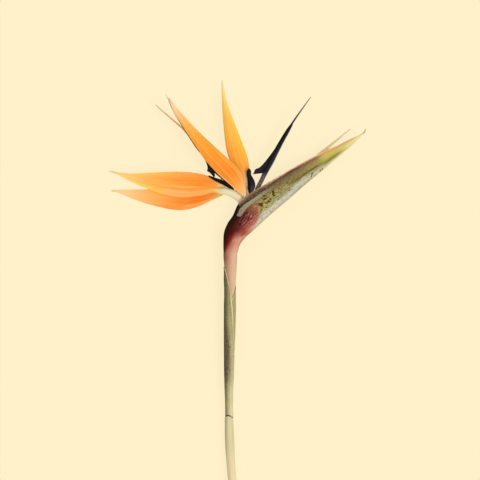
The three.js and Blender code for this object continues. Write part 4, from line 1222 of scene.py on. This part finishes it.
def arrow(name, stem, thread, root, rim, spread, ribbed, tones):
    """Two petals folded round the style: a shaft, two backward lobes and the thread past them."""
    shaft = limb(name, stem, sides=24, steps=60)
    dress(shaft, shaft_finish(name + "_skin", ribbed), "blue", name)
    style = limb(name + "_thread", thread, sides=14, steps=40)
    dress(style, thread_finish(name + "_thread_skin", *tones), "blue")
    lobe_skin = dark_finish(name + "_lobe_skin", 0.12)
    for label, side in (("upper", 1), ("lower", -1)):
        raised = []
        for k, (x, y, z) in enumerate(rim):
            lift = 0.4 + spread * math.sin(math.pi * (k + 1) / len(rim))
            raised.append((x, y, z + side * lift))
        lobe = petal(
            name + "_lobe_" + label, [(x, y, z + side * 0.4) for x, y, z in root], raised,
            crown=[0.2, 0.3, 0.2], columns=10, rows=20,
        )
        dress(lobe, lobe_skin, "blue")


arrow(
    "first_petals_arrow",
    stem=[
        (-7, 47.3, 10.6, 1.1, 1.1), (-11.5, 52, 11.8, 1.2, 1.2), (-16.8, 57, 12.5, 1.4, 1.2),
        (-21.5, 61.5, 12.8, 1.9, 1.3), (-26, 66.8, 13, 2.1, 1.3), (-30.2, 72.8, 13.3, 1.6, 1.1),
        (-34, 77.5, 13.8, 0.9, 0.8),
    ],
    thread=[
        (-32.6, 75.6, 13.6, 0.7, 0.7), (-37.8, 81.2, 14.4, 0.6, 0.6), (-45, 91.8, 16.2, 0.55, 0.5),
        (-53.1, 104.4, 18.4, 0.5, 0.45), (-60.6, 117.2, 21, 0.4, 0.35), (-64.3, 126, 22.3, 0.28, 0.25),
        (-66.6, 130.6, 23, 0.16, 0.16),
    ],
    root=[(-22.4, 57.4, 12.6), (-23.6, 62.5, 12.8), (-31, 73.6, 13.3)],
    rim=[
        (-23.4, 56.4, 12.6), (-25.6, 58.8, 12.7), (-28.2, 61.3, 12.8), (-29.7, 61.7, 12.8),
        (-29.1, 64.8, 13), (-30.9, 71, 13.2), (-32.6, 74.4, 13.4),
    ],
    spread=0.9, ribbed=0.1,
    tones=[(0, "120e10"), (0.2, "3a2412"), (0.6, "5c401c"), (0.8, "8f7040"), (1, "b5a274")],
)
arrow(
    "second_petals_arrow",
    stem=[
        (11.5, CLAW_Y + 0.3, 9.3, 1.2, 1.2), (13.2, 40.3, 9.6, 1.6, 1.5), (15.8, 46.6, 10, 1.9, 1.8),
        (19.4, 53.7, 10.3, 2, 2), (23.4, 62, 10.6, 2.3, 2.2), (27.9, 70.8, 11, 2.7, 2.2),
        (32.8, 80.2, 11.6, 2.4, 2), (38.2, 90, 12.4, 2.05, 1.8), (43.1, 98.4, 13.2, 1.75, 1.5),
        (46.8, 104.4, 13.8, 1, 0.9),
    ],
    thread=[
        (45.6, 103, 13.6, 0.9, 0.8), (50.6, 110.4, 14.6, 0.8, 0.75), (57, 119.4, 16, 0.6, 0.6),
        (63.6, 128.5, 17.4, 0.35, 0.35),
    ],
    root=[(22.4, 60.3, 10.5), (25.4, 67, 10.9), (33.4, 82.6, 11.5)],
    rim=[
        (11.1, 59.1, 10.5), (12.6, 60.6, 10.5), (13.2, 63.3, 10.6), (17.3, 65, 10.8), (21.4, 69.1, 11),
        (26.3, 75.2, 11.3), (31.8, 82.8, 11.6),
    ],
    spread=1.5, ribbed=0.33, tones=[(0, "1a1822"), (0.25, "3c3638"), (0.5, "6e6254"), (1, "8f806a")],
)

# ------------------------------------------------------------------ unopened bud
# A bud of the next floret, still shut and lying in the spathe; only its thin tan tip rises over
# the rim.
bud = limb(
    "unopened_bud",
    [
        (12.2, 14.8, AXIS_Z, 1.2, 1.2), (24, 29, AXIS_Z, 2.2, 2.2), (36, 42.6, AXIS_Z, 3, 2.8),
        (48, 55.2, AXIS_Z, 2.6, 2.4), (59, 66.4, AXIS_Z, 1.9, 1.4), (68, 74.3, AXIS_Z, 1.5, 0.9),
        (77, 81.6, AXIS_Z, 1.25, 0.8), (84.2, 87.4, AXIS_Z, 0.95, 0.7),
        (99.4, 100.1, AXIS_Z, 0.35, 0.35),
    ],
    sides=16, steps=60,
)
finish = Finish("bud_skin", 0.55, 0.3)
up_it = finish.split(finish.uv)[1]
skin = finish.ramp(
    up_it, (0, "d8cfa0"), (0.5, "cdbb7c"), (0.68, "d9ae74"), (0.78, "d3ba80"), (1, "cdc092"),
)
finish.colour(skin)
dress(bud, finish.material, "bud", "unopened_bud")

# ------------------------------------------------------------------ size
# The finished flower's bounds are measured and set beside those of the solids that carry it.
seen_low, seen_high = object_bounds()
sizes = {"cad": [list(cad_low), list(cad_high)], "visual": [list(seen_low), list(seen_high)]}
